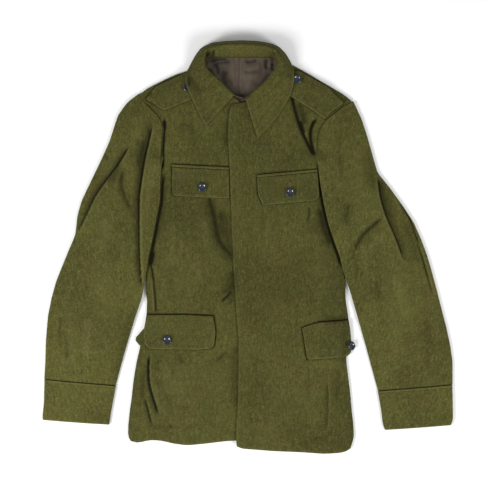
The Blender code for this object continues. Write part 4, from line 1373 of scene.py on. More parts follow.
@dataclass
class Tube:
    """A sleeve or a cuff: a flattened tube of cloth, in its outer and inner skins."""

    name: str
    wool: bpy.types.Material
    rows: Sequence[Sequence[float]]
    body: FrontForm
    relief: Relief
    cut: Cut
    wall: float = 1.7
    edge_height: float = 4.3
    fill: float = 7.5
    spacing: float = 2.3
    sewn_on: bool = True
    shift: Point = (0.0, 0.0)
    across: int = 62
    beneath: int = 16
    arc: int = 6

    def floor(self, x: Array, y: Array) -> Array:
        """Height of what the tube lies on."""
        side = self.body.side(y)
        outward = (x - side) * self.body.sign
        rest = self.body.rest(np.where(outward > 0, side, x), y) + CLOTH + 0.7
        return rest * (1.0 - ease(SHELF_FLAT, SHELF_END, outward)) * ease(190, 152, y)

    def rings(self) -> tuple[Array, Array, Array, Array, Array]:
        """Outer and inner points of every section, painted shade, painted highlight with wear, and which
        sections are open.
        """
        table = resample(self.rows, self.spacing, 4.0)
        start = table[:, None, 0:2] + np.array(self.shift)
        end = table[:, None, 2:4] + np.array(self.shift)
        run = end - start
        width = np.hypot(run[..., 0], run[..., 1])
        run = run / (width[..., None] + 1e-9)
        sewn = ease(SEAM_LOW, SEAM_HIGH, start[..., 1]) if self.sewn_on else 0.0 * width
        radius = np.minimum(2.1, 0.4 * width)
        base = clustered(1.0, (0.0, 0.006, 0.016, 0.032, 0.055), 1.0 / self.across)
        lower = np.linspace(0.0, 1.0, self.beneath)
        turns = math.pi * (np.arange(self.arc) + 1) / (self.arc + 1)
        middle = (table[:, 0:2] + table[:, 2:4]) / 2
        from_start = np.concatenate([[0.0], np.cumsum(np.hypot(*np.diff(middle, axis=0).T))])[:, None]
        from_end = from_start[-1:] - from_start

        def spots(offset: Array) -> tuple[Array, Array]:
            """Plan position at an offset from the inner edge."""
            return start[..., 0] + run[..., 0] * offset, start[..., 1] + run[..., 1] * offset

        def crown(offset: Array) -> tuple[Array, Array, Array]:
            """Height of the upper face over the floor, with painted shade, and painted highlight with wear.
            """
            x, y = spots(offset)
            away = np.minimum(offset * (1 - sewn) + 60 * sewn, width - offset)
            height = self.edge_height + 1.2 * ease(0, 6, away)
            height = height + self.fill * ease(0, 50, away) * ease(10, 90, width)
            rise, dark, lit = self.relief.read(x, y)
            height = height + rise * ease(1, 16, np.minimum(offset, width - offset))
            line = self.body.rest(x, y) + CLOTH - self.floor(x, y) + 0.4
            meet = (1.0 - ease(0, 1, offset / np.minimum(58.0, width))) * sewn
            height = height + (np.maximum(line, self.edge_height) - height) * meet
            height = height - 1.3 * (1 - ease(0, 4.0, offset)) * sewn
            # Painted shade along the armhole seam, and painted shade growing towards the sleeve's top.
            dark = np.maximum(dark, 0.8 * bell(offset, 2.0) * sewn) + 0.16 * ease(-20, 170, y)
            if self.sewn_on:
                height = height - 0.9 * (1.0 - ease(0, 2.4, from_end))
                # Painted shade where the sleeve ends under the cuff.
                dark = np.maximum(dark, 0.75 * bell(from_end, 1.6))
            else:
                height = height + turned_edge(from_start, 1.2, 0.35, 5.0)
                height = height + turned_edge(from_end, 1.2, 0.1, 60.0)
                # Painted shade along the cuff's top edge and its stitching; painted highlight on the edge's
                # rim and at the wrist.
                dark = np.maximum(dark, 0.9 * bell(from_start, 0.9) + 0.35 * bell(from_start - 5.0, 0.9))
                lit = np.maximum(lit, 0.45 * bell(from_start - 2.2, 1.4) + 0.35 * bell(from_end - 1.0, 1.4))
            return np.maximum(height, self.edge_height - 1.6), dark, lit

        def stack(offset: Array, height: Array) -> Array:
            """Points from offsets and heights over the floor."""
            x, y = spots(offset)
            return np.stack([x, y, self.floor(x, y) + height], axis=2)

        below = radius + (width - 2 * radius) * lower
        upper = (radius + (width - 2 * radius) * base)[:, ::-1]
        high, dark, lit = crown(upper)
        half_out = high[:, :1] / 2
        half_in = high[:, -1:] / 2
        out_arc = stack(width - radius + radius * np.sin(turns), half_out * (1 - np.cos(turns)))
        in_offset = radius - radius * np.sin(turns)
        in_arc = stack(in_offset, half_in * (1 + np.cos(turns)))
        tuck = (self.body.lift(start[..., 1]) / ARMHOLE_LIFT)
        depth = np.array([-1.6, -3.4, -5.6, 0.2, 0.5, 1.2]) * np.where(np.arange(self.arc) < 3, tuck, 1.0)
        flange_x, flange_y = spots(depth)
        under = self.body.rest(flange_x, flange_y) - 0.3
        flange_z = np.where(np.arange(self.arc) < 3, under, 0.25)
        flange = np.stack([flange_x, flange_y, flange_z], axis=2)
        weight = sewn[..., None]
        in_arc = in_arc * (1 - weight) + flange * weight
        outer = np.concatenate([stack(below, 0.0 * below), out_arc, stack(upper, high), in_arc], axis=1)
        blank_low = np.zeros(below.shape)
        blank_arc = np.zeros((len(table), self.arc))
        # Painted shade on the inner edge where it is sewn into the armhole; the rolled edges get a flat
        # painted highlight with wear.
        shade = np.concatenate([blank_low, blank_arc, dark, blank_arc + 0.5 * sewn], axis=1)
        lit_and_worn = np.concatenate([blank_low, blank_arc + 0.25, lit, blank_arc + 0.2], axis=1)
        inner = self.inner_skin(outer, run[:, 0], len(below[0]))
        return outer, inner, shade, lit_and_worn, sewn[:, 0] > 0.001

    def inner_skin(self, outer: Array, run: Array, low: int) -> Array:
        """Move a section's points in by the wall, kept apart above and below.

        Args:
            outer: points of the outer skin.
            run: direction across each section.
            low: number of points on the underside.

        Returns:
            Points of the inner skin.
        """
        offset = ((outer[..., :2] - outer[:, :1, :2]) * run[:, None]).sum(axis=2)
        line = np.stack([offset, outer[..., 2]], axis=2)
        ahead = np.roll(line, -1, axis=1) - np.roll(line, 1, axis=1)
        ahead[:, -self.arc // 2 - 1:-self.arc // 2 + 1] = ahead[:, -self.arc // 2 - 2:-self.arc // 2 - 1]
        ahead /= np.linalg.norm(ahead, axis=2)[..., None] + 1e-9
        move = np.stack([-ahead[..., 1], ahead[..., 0]], axis=2) * self.wall
        inner = outer.copy()
        inner[..., :2] += run[:, None] * move[..., :1]
        inner[..., 2] += move[..., 1]
        inner[:, :low, 2] = outer[:, :low, 2] + self.wall
        return inner

    def build(self) -> bpy.types.Object:
        """Make the tube."""
        outer, inner, shade, lit_and_worn, opened = self.rings()
        rows, ring = outer.shape[:2]
        slit = ring - self.arc + 2
        shell = Shell()
        skins = [shell.add(outer, shade, lit_and_worn), shell.add(inner)]
        for first in skins:
            for row in range(rows - 1):
                for step in range(ring):
                    if step == slit and opened[row] and opened[row + 1]:
                        continue
                    near = first + row * ring + step
                    far = first + row * ring + (step + 1) % ring
                    shell.faces.append((near, far, far + ring, near + ring))
        a, b = skins
        for row in (0, rows - 1):
            for step in range(ring):
                if step == slit and opened[row]:
                    continue
                near, far = row * ring + step, row * ring + (step + 1) % ring
                shell.faces.append((a + near, a + far, b + far, b + near))
        count = int(opened.sum())
        for side in (slit, (slit + 1) % ring) if count > 1 else ():
            run = [row * ring + side for row in range(count)]
            shell.bridge([a + spot for spot in run], [b + spot for spot in run])
        if count > 1:
            near = (count - 1) * ring + slit
            far = (count - 1) * ring + (slit + 1) % ring
            shell.faces.append((a + near, a + far, b + far, b + near))
        piece = publish(shell.build(self.name + "_cloth", self.wool), (self.name,), Slot.WOOL)
        self.cut.declare(piece, ["back"])
        return piece


@dataclass
class Patch:
    """A flap, strap or welt: a flat sewn piece that lies on a front."""

    name: str
    outline: Sequence[Point]
    body: FrontForm
    wool: bpy.types.Material
    cut: Cut
    turn: float = 0.0
    wall: float = 2.4
    corner: float = 4.0
    spacing: float = 0.95
    stitch: float = 8.5
    loose: float = 0.9
    sewn_side: Point = (0.0, 1.0)
    apron: float = 0.0
    thread: Stitching | None = None
    raise_by: float = 0.15
    rim_highlight: float = 0.4
    added_shade: float = 0.0
    tab: Sequence[Point] = ()

    def under(self, x: Array, y: Array) -> Array:
        """Height of the front's face under the piece, and of the drop past the side."""
        outside = np.maximum((x - self.body.side(y)) * self.body.sign, 0.0)
        drop = APRON_DROP * outside / self.apron if self.apron else 0.0 * outside
        return self.body.top(x, y) + 0.35 - drop

    def dress(self, x: Array, y: Array, depth: Array) -> tuple[Array, Array, Array, Array]:
        """Heights, painted shade, and painted highlight with wear, over the piece."""
        middle = np.array(self.outline).mean(axis=0)
        axis = np.array(self.sewn_side) / np.hypot(*self.sewn_side)
        toward = (x - middle[0]) * axis[0] + (y - middle[1]) * axis[1]
        span = float(np.ptp(np.array(self.outline) @ axis))
        free = ease(0.45 * span, -0.5 * span, toward)
        folds, dark, lit = Relief((), ((0.05, 0.03, 1.0, 0.18), (0.11, -0.09, 2.0, 0.10))).read(x, y)
        curl = self.loose * free * (1.0 - ease(0.0, 26.0, depth)) + 0.35 * free
        low = self.under(x, y) + np.maximum(curl + folds * free, 0.0)
        form = turned_edge(depth, 1.2, self.raise_by, self.stitch)
        high = low + self.wall + form
        low = low + 0.45 * np.clip(1.0 - depth / 1.2, 0.0, 1.0) ** 2
        # Painted shade in the stitch groove, plus a flat painted shade over the whole piece.
        dark = np.maximum(dark, 0.22 * bell(depth - self.stitch, 0.85)) + self.added_shade
        sewn = ease(0.34 * span, 0.44 * span, toward) * (self.wall < 2.6)
        # Painted shade in the seam along the sewn edge; painted highlight on the free edges' rim.
        dark = np.maximum(dark, 0.7 * bell(depth, 1.3) * sewn)
        lit = np.maximum(lit, self.rim_highlight * bell(depth - 0.9, 1.3) * (1.0 - sewn))
        return high, np.minimum(low, high - 0.5), dark, lit

    def shape(self) -> Array:
        """The outline, with crisp corners where it is sewn and round ones where it is free."""
        points = np.array(self.outline, float)
        axis = np.array(self.sewn_side) / np.hypot(*self.sewn_side)
        toward = (points - points.mean(axis=0)) @ axis
        return rounded(self.outline, [1.3 if value > 0 else self.corner for value in toward])

    def build(self) -> bpy.types.Object:
        """Make the piece and its stitches."""
        outline = self.shape()
        shell = patch_shell(outline, self.spacing, self.turn, self.dress)
        if self.tab:
            # The tab lies folded under, so it gets flat painted shade all over.
            lower = replace(self, outline=self.tab, tab=(), wall=1.5, added_shade=0.3, stitch=60.0)
            shell.join(patch_shell(lower.shape(), self.spacing, self.turn, lower.dress))
        piece = publish(shell.build(self.name + "_cloth", self.wool), (self.name,), Slot.WOOL)
        parts = []
        if self.thread:
            line = inset_line(outline, self.stitch)
            parts = [self.thread.sew(self.name + "_stitching", self.thread.seat(piece, [line]))]
        front = "front_left" if self.body.closing else "front_right"
        self.cut.declare(piece, [front], parts)
        return piece


@dataclass
class Collar:
    """The collar: a pointed fall turned over at the roll, and the stand inside it."""

    wool: bpy.types.Material
    thread: Stitching
    pieces: Sequence[bpy.types.Object]
    wall: float = 2.3
    roll_front: float = 13.0
    roll_back: float = 28.0
    reach: float = 17.0
    spacing: float = 1.7
    columns: int = 46
    leaf_cut: Cut = Cut(0.560, 0.075, 0.0265)
    stand_cut: Cut = Cut(0.360, 0.034, 0.0086)

    def roll(self, share: Array) -> Array:
        """Height of the roll along the collar, from tip to tip."""
        return self.roll_front + (self.roll_back - self.roll_front) * np.sin(np.pi * share) ** 1.3

    def highest(self, x: Array, y: Array) -> Array:
        """Height of the highest thing near each point."""
        points: list[Vector] = []
        faces: list[list[int]] = []
        for piece in self.pieces:
            first = len(points)
            points += [vertex.co.copy() for vertex in piece.data.vertices]
            faces += [[first + index for index in face.vertices] for face in piece.data.polygons]
        tree = BVHTree.FromPolygons(points, faces)
        found = np.zeros(x.shape)
        ring = [(0.0, 0.0)] + [(r * math.cos(t), r * math.sin(t)) for r in (0.4, 1.0)
                               for t in np.arange(8) * math.tau / 8]
        for index, (px, py) in enumerate(zip(x.ravel(), y.ravel())):
            best = 0.0
            for dx, dy in ring:
                spot = Vector(((px + dx * 5.0) * MM, (py + dy * 5.0) * MM, 0.2))
                hit = tree.ray_cast(spot, Vector((0, 0, -1)))
                if hit[0] is not None:
                    best = max(best, hit[0].z / MM)
            found[np.unravel_index(index, x.shape)] = best
        return found

    def leaf_points(self) -> tuple[Array, Array, Array, Array, Array]:
        """Outer and inner faces of the fall, painted shade, painted highlight with wear, and the distance in
        from its outer edge.
        """
        table = resample(COLLAR, self.spacing, 3.0)
        count = len(table)
        position = np.linspace(0.0, 1.0, count)
        roll = self.roll(position)[:, None]
        outer = table[:, None, 0:2]
        inner = table[:, None, 2:4]
        share = np.concatenate([[0.0, 0.008, 0.02, 0.04], np.linspace(0.065, 1.0, self.columns)])
        spot = outer + (inner - outer) * share[None, :, None]
        low = np.where(table[:, 1:2] > 360, 1.6, 6.0)
        low = soften(low, 10.0)
        height = low + (roll - low) * np.sin(share[None] * np.pi / 2) ** 1.1
        coarse_rows = np.arange(0, count, 5)
        coarse_columns = np.arange(0, len(share), 4)
        beneath = self.highest(spot[coarse_rows][:, coarse_columns, 0],
                               spot[coarse_rows][:, coarse_columns, 1])
        steps = np.stack([np.interp(np.arange(len(share)), coarse_columns, row) for row in beneath])
        filled = np.stack([np.interp(np.arange(count), coarse_rows, column) for column in steps.T], 1)
        filled = soften(soften(filled, 3.0).T, 3.0).T
        height = np.maximum(height, filled + 1.3)
        height = soften(height, 3.0)
        face = np.concatenate([spot, height[..., None]], axis=2)
        inward = np.array(NECK_MIDDLE) - table[:, 2:4]
        inward /= np.hypot(*inward.T)[:, None]
        turns = np.radians([28, 56, 84, 112, 140, 165])
        over = []
        bend = 2.0
        for turn in turns:
            ahead = bend * math.sin(turn)
            rise = bend * (math.cos(turn) - 1.0)
            step = np.concatenate([table[:, 2:4] + inward * ahead, height[:, -1:] + rise], axis=1)
            over.append(step)
        for drop in (3.0, 5.5, 8.0):
            step = over[len(turns) - 1].copy()
            step[:, 2] -= drop
            over.append(step)
        face = np.concatenate([face, np.stack(over, axis=1)], axis=1)
        along = np.gradient(face, axis=0)
        across = np.gradient(face, axis=1)
        normal = np.cross(across, along)
        normal /= np.linalg.norm(normal, axis=2)[..., None] + 1e-9
        if normal[:, :20, 2].mean() < 0:
            normal = -normal
        lengths = np.linalg.norm(np.diff(face, axis=1), axis=2)
        inset = np.concatenate([np.zeros((count, 1)), np.cumsum(lengths, axis=1)], axis=1)
        side = np.linalg.norm(np.diff(face, axis=0), axis=2)
        run = np.concatenate([np.zeros((1, face.shape[1])), np.cumsum(side, axis=0)])
        ends = np.minimum(run, run[-1:] - run)
        depth = np.minimum(inset, ends)
        first_edge = ends < inset
        stitched = np.where(first_edge, ends, inset)
        form = turned_edge(stitched, 1.2, 0.2, TOPSTITCH)
        # Folds of the fall, with painted shade in their troughs and a painted highlight on the ridges.
        folds = Relief((
            Crease(((-114, 330), (-100, 312), (-92, 296)), depth=0.9, width=7, dark=0.3, fade=10),
            Crease(((-108, 305), (-90, 298), (-72, 300)), depth=0.8, width=6, dark=0.25, fade=10),
            Crease(((-108, 327), (-111, 313), (-109, 297)), depth=1.0, width=4, dark=0.5, fade=9),
            Crease(((76, 330), (70, 300), (56, 276)), depth=-0.8, width=9, lit=0.2, fade=12),
            Crease(((-60, 262), (-72, 280), (-84, 300)), depth=-0.6, width=9, lit=0.2, fade=12),
        ), ((0.05, 0.07, 0.4, 0.22), (0.09, -0.06, 1.4, 0.14)))
        rise, dark, lit = folds.read(face[..., 0], face[..., 1])
        hold = ease(0, 14, depth)
        top = face + normal * (self.wall + form + rise * hold)[..., None]
        low_face = face + normal * (0.55 * np.clip(1 - stitched / 1.2, 0, 1) ** 2)[..., None]
        # Painted shade in the topstitch groove and a painted highlight on the rim of the edge.
        dark = np.maximum(dark, 0.38 * bell(stitched - TOPSTITCH, 1.0) * ease(3, 6, inset))
        lit = np.maximum(lit, 0.5 * bell(stitched - 1.0, 1.5))
        return top, low_face, dark, lit, inset

    def leaf(self) -> bpy.types.Object:
        """The fall of the collar with its stitches."""
        top, bottom, dark, lit, inset = self.leaf_points()
        piece = grid_shell(top, bottom, dark, lit).build("collar_leaf_cloth", self.wool)
        publish(piece, ("collar_leaf",), Slot.WOOL)
        edge = []
        for row in range(len(top)):
            column = int(np.argmin(np.abs(inset[row] - TOPSTITCH)))
            edge.append(top[row, column])
        edge = np.array(edge)
        lines = []
        reach = np.linalg.norm(np.diff(edge, axis=0), axis=1)
        along = np.concatenate([[0.0], np.cumsum(reach)])
        spots = np.arange(TOPSTITCH, along[-1] - TOPSTITCH, self.thread.pitch / 4)
        path = np.stack([np.interp(spots, along, edge[:, axis]) for axis in range(3)], axis=1)
        path = soften(path, 4.0)
        tree = tree_of(piece)
        points, normals = [], []
        for spot in path:
            hit = tree.find_nearest(Vector(spot) * MM)
            points.append(np.array(hit[0]) / MM)
            normals.append(np.array(hit[1]))
        lines.append((np.array(points), np.array(normals)))
        for row in (0, len(top) - 1):
            step = 1 if row == 0 else -1
            rows = row
            while abs(rows - row) < 30 and np.linalg.norm(top[rows, 20] - top[row, 20]) < TOPSTITCH:
                rows += step
            chord = top[rows, 8:-12, :2]
            chord = chord[inset[rows, 8:-12] > TOPSTITCH]
            lines += self.thread.seat(piece, [chord])
        thread = self.thread.sew("collar_leaf_stitching", lines)
        self.leaf_cut.declare(piece, ["front_left", "front_right"], [thread])
        return piece

    def stand(self) -> bpy.types.Object:
        """The stand, from the neck seam up to the roll, leaning back behind the neck."""
        position = np.linspace(0.0, 1.0, len(COLLAR))
        rows = [list(row) for row in STAND_THROAT]
        rows += [[row[2], row[3], float(self.roll(place)) + 0.6] for row, place in zip(COLLAR, position)]
        table = resample(rows, 2.0, 4.0)
        inward = np.array(NECK_MIDDLE) - table[:, :2]
        inward /= np.hypot(*inward.T)[:, None]
        near = table[:, :2] + inward * 0.9
        behind = ease(345, 372, near[:, 1])
        foot_y = near[:, 1] + (355 + (near[:, 1] - 355) * 0.18 - near[:, 1]) * behind
        foot_x = near[:, 0] * (1.0 - 0.04 * behind)
        foot = np.stack([foot_x, foot_y], axis=1)
        share = np.concatenate([[0.0, 0.03], np.linspace(0.08, 0.94, 14), [0.98, 1.0]])[None, :, None]
        spot = foot[:, None] + (near - foot)[:, None] * share
        height = 3.6 + (table[:, 2:3] - 3.6) * share[..., 0]
        face = np.concatenate([spot, height[..., None]], axis=2)
        normal = np.cross(np.gradient(face, axis=1), np.gradient(face, axis=0))
        normal /= np.linalg.norm(normal, axis=2)[..., None] + 1e-9
        middle = np.array([*NECK_MIDDLE, 100.0])
        if ((middle - face) * normal).sum() < 0:
            normal = -normal
        # Waves of the stand; rows with no depth are painted shade alone.
        waves = Relief((
            Crease(((-64, 376), (-65, 368), (-67, 360)), depth=0.9, width=3.4, dark=0.7, core=2,
                   skirt=3.4, fade=5),
            Crease(((-84, 360), (-76, 366), (-70, 372)), dark=0.7, core=5, skirt=6, fade=6),
            Crease(((56, 362), (52, 368), (44, 374)), dark=0.5, core=5, skirt=6, fade=6),
            Crease(((-74, 372), (-70, 364), (-66, 356)), depth=0.9, width=5, dark=0.4, fade=6),
            Crease(((46, 374), (44, 366), (42, 357)), depth=0.9, width=5, dark=0.4, fade=6),
            Crease(((-62, 376), (-58, 362)), depth=-0.5, width=7, lit=0.2, fade=6),
        ), ((0.10, 0.02, 0.0, 0.22), (0.19, 0.05, 1.0, 0.10)))
        rise, dark, lit = waves.read(face[..., 0], face[..., 1])
        # Painted shade down at the stand's foot, deep inside the neck.
        foot_shade = 0.55 * (1 - ease(0, 0.35, share[..., 0])) + 0.0 * height
        rim = 0.6 * (bell(share[..., 0], 0.03) + bell(1 - share[..., 0], 0.03))
        wall = 1.8 + rise * 0.6 - rim
        top = face + normal * wall[..., None]
        dark = np.maximum(dark, foot_shade)
        piece = grid_shell(top, face, dark, lit).build("collar_stand_cloth", self.wool)
        publish(piece, ("collar_stand",), Slot.WOOL)
        self.stand_cut.declare(piece, ["back"])
        return piece

    def build(self) -> list[bpy.types.Object]:
        """Make the fall and the stand."""
        return [self.leaf(), self.stand()]


@dataclass
class Button:
    """A dished plastic button with four holes, sewn on with thread."""

    name: str
    tilt: float
    plastic: bpy.types.Material
    thread: bpy.types.Material
    radius: float = 8.5
    height: float = 4.2
    segments: int = 56
    hole_reach: float = 1.75
    hole_radius: float = 0.62

    def profile(self) -> list[Point]:
        """Distance from the axis and height, from the middle of the face round to the back."""
        radius, top = self.radius, self.height
        face = [(0.0, top - 1.75), (1.2, top - 1.74), (2.6, top - 1.68), (3.5, top - 1.5),
                (4.3, top - 1.12), (5.1, top - 0.62), (5.9, top - 0.2), (6.6, top - 0.03),
                (7.1, top), (7.6, top - 0.07), (8.0, top - 0.3), (8.3, top - 0.7)]
        back = [(radius, 0.62 * top), (8.44, 0.45 * top), (8.1, 0.24 * top), (7.3, 0.1 * top),
                (6.0, 0.05), (3.4, 0.0), (0.0, 0.0)]
        return face + back

    def lathe(self) -> Shell:
        """Turn the profile into a closed disc."""
        shell = Shell()
        profile = self.profile()
        turns = np.arange(self.segments) * math.tau / self.segments
        start = shell.add(np.array([[0.0, 0.0, profile[0][1]]]))
        rings = np.array([[[reach * math.cos(t), reach * math.sin(t), height] for t in turns]
                          for reach, height in profile[1:-1]])
        first = shell.add(rings)
        end = shell.add(np.array([[0.0, 0.0, profile[-1][1]]]))
        shell.quads(first, len(rings), self.segments, wrap=True)
        last = first + (len(rings) - 1) * self.segments
        for step in range(self.segments):
            after = (step + 1) % self.segments
            shell.faces.append((start, first + step, first + after))
            shell.faces.append((end, last + after, last + step))
        return shell

    def fittings(self) -> tuple[Shell, Shell]:
        """The holes' dark cups and the crossing threads."""
        cups, threads = Shell(), Shell()
        face = self.height - 1.72
        turns = np.arange(12) * math.tau / 12
        places = [(math.cos(a) * self.hole_reach, math.sin(a) * self.hole_reach)
                  for a in np.radians([45, 135, 225, 315])]
        for px, py in places:
            rings = np.array([[[px + reach * math.cos(t), py + reach * math.sin(t), height] for t in turns]
                              for reach, height in ((0.86, face + 0.02), (0.78, face + 0.14),
                                                    (self.hole_radius, face + 0.06), (0.5, face + 0.03))])
            first = cups.add(rings)
            cups.quads(first, 4, 12, wrap=True)
            cups.faces.append(tuple(range(first + 36, first + 48)))
            cups.faces.append(tuple(reversed(range(first, first + 12))))
        for (ax, ay), (bx, by) in ((places[0], places[1]), (places[2], places[3])):
            for lane in (-0.26, 0.0, 0.26):
                share = np.linspace(0.0, 1.0, 9)
                spine = np.stack([ax + (bx - ax) * share, ay + (by - ay) * share + lane,
                                  face + 0.12 + 0.42 * np.sin(np.pi * share)], axis=1)
                turns6 = np.arange(6) * math.tau / 6
                rings = spine[:, None] + 0.16 * np.stack(
                    [0 * turns6, np.cos(turns6), np.sin(turns6)], axis=1)[None]
                first = threads.add(rings)
                threads.quads(first, 9, 6, wrap=True)
                threads.faces.append(tuple(range(first, first + 6)))
                threads.faces.append(tuple(reversed(range(first + 48, first + 54))))
        return cups, threads

    def build(self) -> bpy.types.Object:
        """Make the button where its node is."""
        disc = self.lathe().build(self.name + "_turned", self.plastic)
        cups, threads = self.fittings()
        extras = [cups.build(self.name + "_holes", self.plastic),
                  threads.build(self.name + "_thread", self.thread)]
        turn = Matrix.Rotation(math.radians(self.tilt), 4, "Y")
        disc.data.transform(turn)
        low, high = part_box(self.name)
        points = np.array([vertex.co[:] for vertex in disc.data.vertices])
        middle = Vector((points.min(0) + points.max(0)) / 2)
        move = Matrix.Translation((low + high) / 2 - middle)
        disc.data.transform(move)
        publish(disc, (self.name,), Slot.BUTTON)
        for extra in extras:
            extra.data.transform(move @ turn)
            publish(extra, (), Slot.BUTTON)
        return disc


@dataclass
class Buttonhole:
    """A worked slit above a button."""

    name: str
    start: Point
    end: Point
    carrier: bpy.types.Object
    thread: bpy.types.Material
    width: float = 1.1

    def build(self) -> bpy.types.Object:
        """Make the ring of close stitches round the slit."""
        tree = tree_of(self.carrier)
        a, b = np.array(self.start), np.array(self.end)
        run = (b - a) / np.hypot(*(b - a))
        across = np.array([-run[1], run[0]])
        shell = Shell()
        loop = []
        length = float(np.hypot(*(b - a)))
        for share in np.linspace(0.0, 1.0, 22)[:-1]:
            loop.append(a + run * length * share + across * self.width)
        for angle in np.linspace(0, math.pi, 8)[:-1]:
            loop.append(b + (across * math.cos(angle) + run * math.sin(angle)) * self.width)
        for share in np.linspace(0.0, 1.0, 22)[:-1]:
            loop.append(b - run * length * share - across * self.width)
        for angle in np.linspace(0, math.pi, 8)[:-1]:
            loop.append(a - (across * math.cos(angle) + run * math.sin(angle)) * self.width)
        rings = []
        sides = np.arange(8) * math.tau / 8
        for index, spot in enumerate(loop):
            hit = tree.ray_cast(Vector((spot[0] * MM, spot[1] * MM, 0.2)), Vector((0, 0, -1)))
            level = hit[0].z / MM if hit[0] is not None else 8.0
            nearest = a + run * np.clip((spot - a) @ run, 0.0, length)
            outward = (spot - nearest) / (np.hypot(*(spot - nearest)) + 1e-9)
            fat = 0.5 if index % 2 else 0.62
            rings.append([[spot[0] + outward[0] * fat * math.cos(t), spot[1] + outward[1] * fat * math.cos(t),
                           level + 0.08 + fat * 0.75 * math.sin(t)] for t in sides])
        count = len(rings)
        first = shell.add(np.array(rings))
        for row in range(count):
            for step in range(8):
                near, far = first + row * 8 + step, first + row * 8 + (step + 1) % 8
                other = first + ((row + 1) % count) * 8
                shell.faces.append((near, far, other + (step + 1) % 8, other + step))
        piece = shell.build(self.name, self.thread)
        return publish(piece, (), Slot.WOOL)


@dataclass
class Studio:
    """Pale floor, soft light and the camera over the jacket."""

    lens: float = 200.0
    distance: float = 5.28
    place: Point = (0.0045, -0.0061)
    sky: float = 0.42
    left: float = 78.0
    right: float = 58.0

    def lamp(self, name: str, spot: tuple[float, float, float], size: float, power: float) -> None:
        """A square soft light that faces the jacket."""
        light = bpy.data.lights.new(name, "AREA")
        light.shape = "SQUARE"
        light.size = size
        light.energy = power
        made = bpy.data.objects.new(name, light)
        made.location = spot
        made.rotation_mode = "QUATERNION"
        made.rotation_quaternion = (-Vector(spot)).to_track_quat("-Z", "Y")
        bpy.context.scene.collection.objects.link(made)

    def build(self) -> None:
        """Make the floor, the lights and the camera."""
        mesh = bpy.data.meshes.new("floor")
        half = 6.0
        mesh.from_pydata([(-half, -half, 0), (half, -half, 0), (half, half, 0), (-half, half, 0)],
                         [], [(0, 1, 2, 3)])
        mesh.materials.append(FloorFinish().material())
        floor = bpy.data.objects.new("floor", mesh)
        floor.location = (0, 0, -0.0004)
        bpy.context.scene.collection.objects.link(floor)
        floor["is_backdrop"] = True
        world = bpy.data.worlds.new("studio")
        world.use_nodes = True
        background = world.node_tree.nodes["Background"]
        background.inputs["Color"].default_value = (1.0, 1.0, 1.0, 1.0)
        background.inputs["Strength"].default_value = self.sky
        bpy.context.scene.world = world
        self.lamp("left_softbox", (-2.1, -1.3, 1.7), 1.1, self.left)
        self.lamp("right_softbox", (2.1, -1.5, 1.8), 1.1, self.right)
        camera = bpy.data.cameras.new("camera")
        camera.lens = self.lens
        camera.sensor_width = 36.0
        eye = bpy.data.objects.new("camera", camera)
        eye.location = (*self.place, self.distance)
        bpy.context.scene.collection.objects.link(eye)
        bpy.context.scene.camera = eye
        bpy.context.scene.view_settings.view_transform = "Standard"


STRAP_RIGHT = [(-100, 331), (-117, 331), (-173, 305), (-195, 280), (-158, 259), (-90, 287)]
STRAP_LEFT = [(70, 294), (83, 285), (128, 256), (146, 242), (160, 257), (183, 273), (151, 304),
              (98, 334), (76, 334)]
BREAST_FLAP_RIGHT = [(-143, 101), (-139, 96.5), (-38, 92), (-34.5, 93), (-35.2, 146), (-144, 151.5)]
BREAST_FLAP_LEFT = [(20, 99), (28, 79), (128, 88), (136, 94), (133, 142), (18, 131.5), (18, 128)]
HIP_FLAP_RIGHT = [(-197.5, -158), (-197, -176), (-193, -189), (-186, -194), (-90, -195), (-70, -193),
                  (-63.5, -187), (-61, -162), (-65, -131), (-120, -128.5), (-191, -129)]
HIP_TAB_RIGHT = [(-194, -152), (-199, -157), (-212, -172), (-213, -178), (-205, -188), (-194, -190)]
HIP_FLAP_LEFT = [(103, -154), (107, -175), (113, -214.5), (187, -209), (195, -203), (198, -194),
                 (195, -158), (192, -139), (135, -143)]
WELT_RIGHT = [(-144, 151.8), (-35.4, 146.3), (-35.6, 151), (-144, 156.5)]
WELT_LEFT = [(18, 131.8), (132.5, 142.3), (132.5, 147), (18, 136.5)]


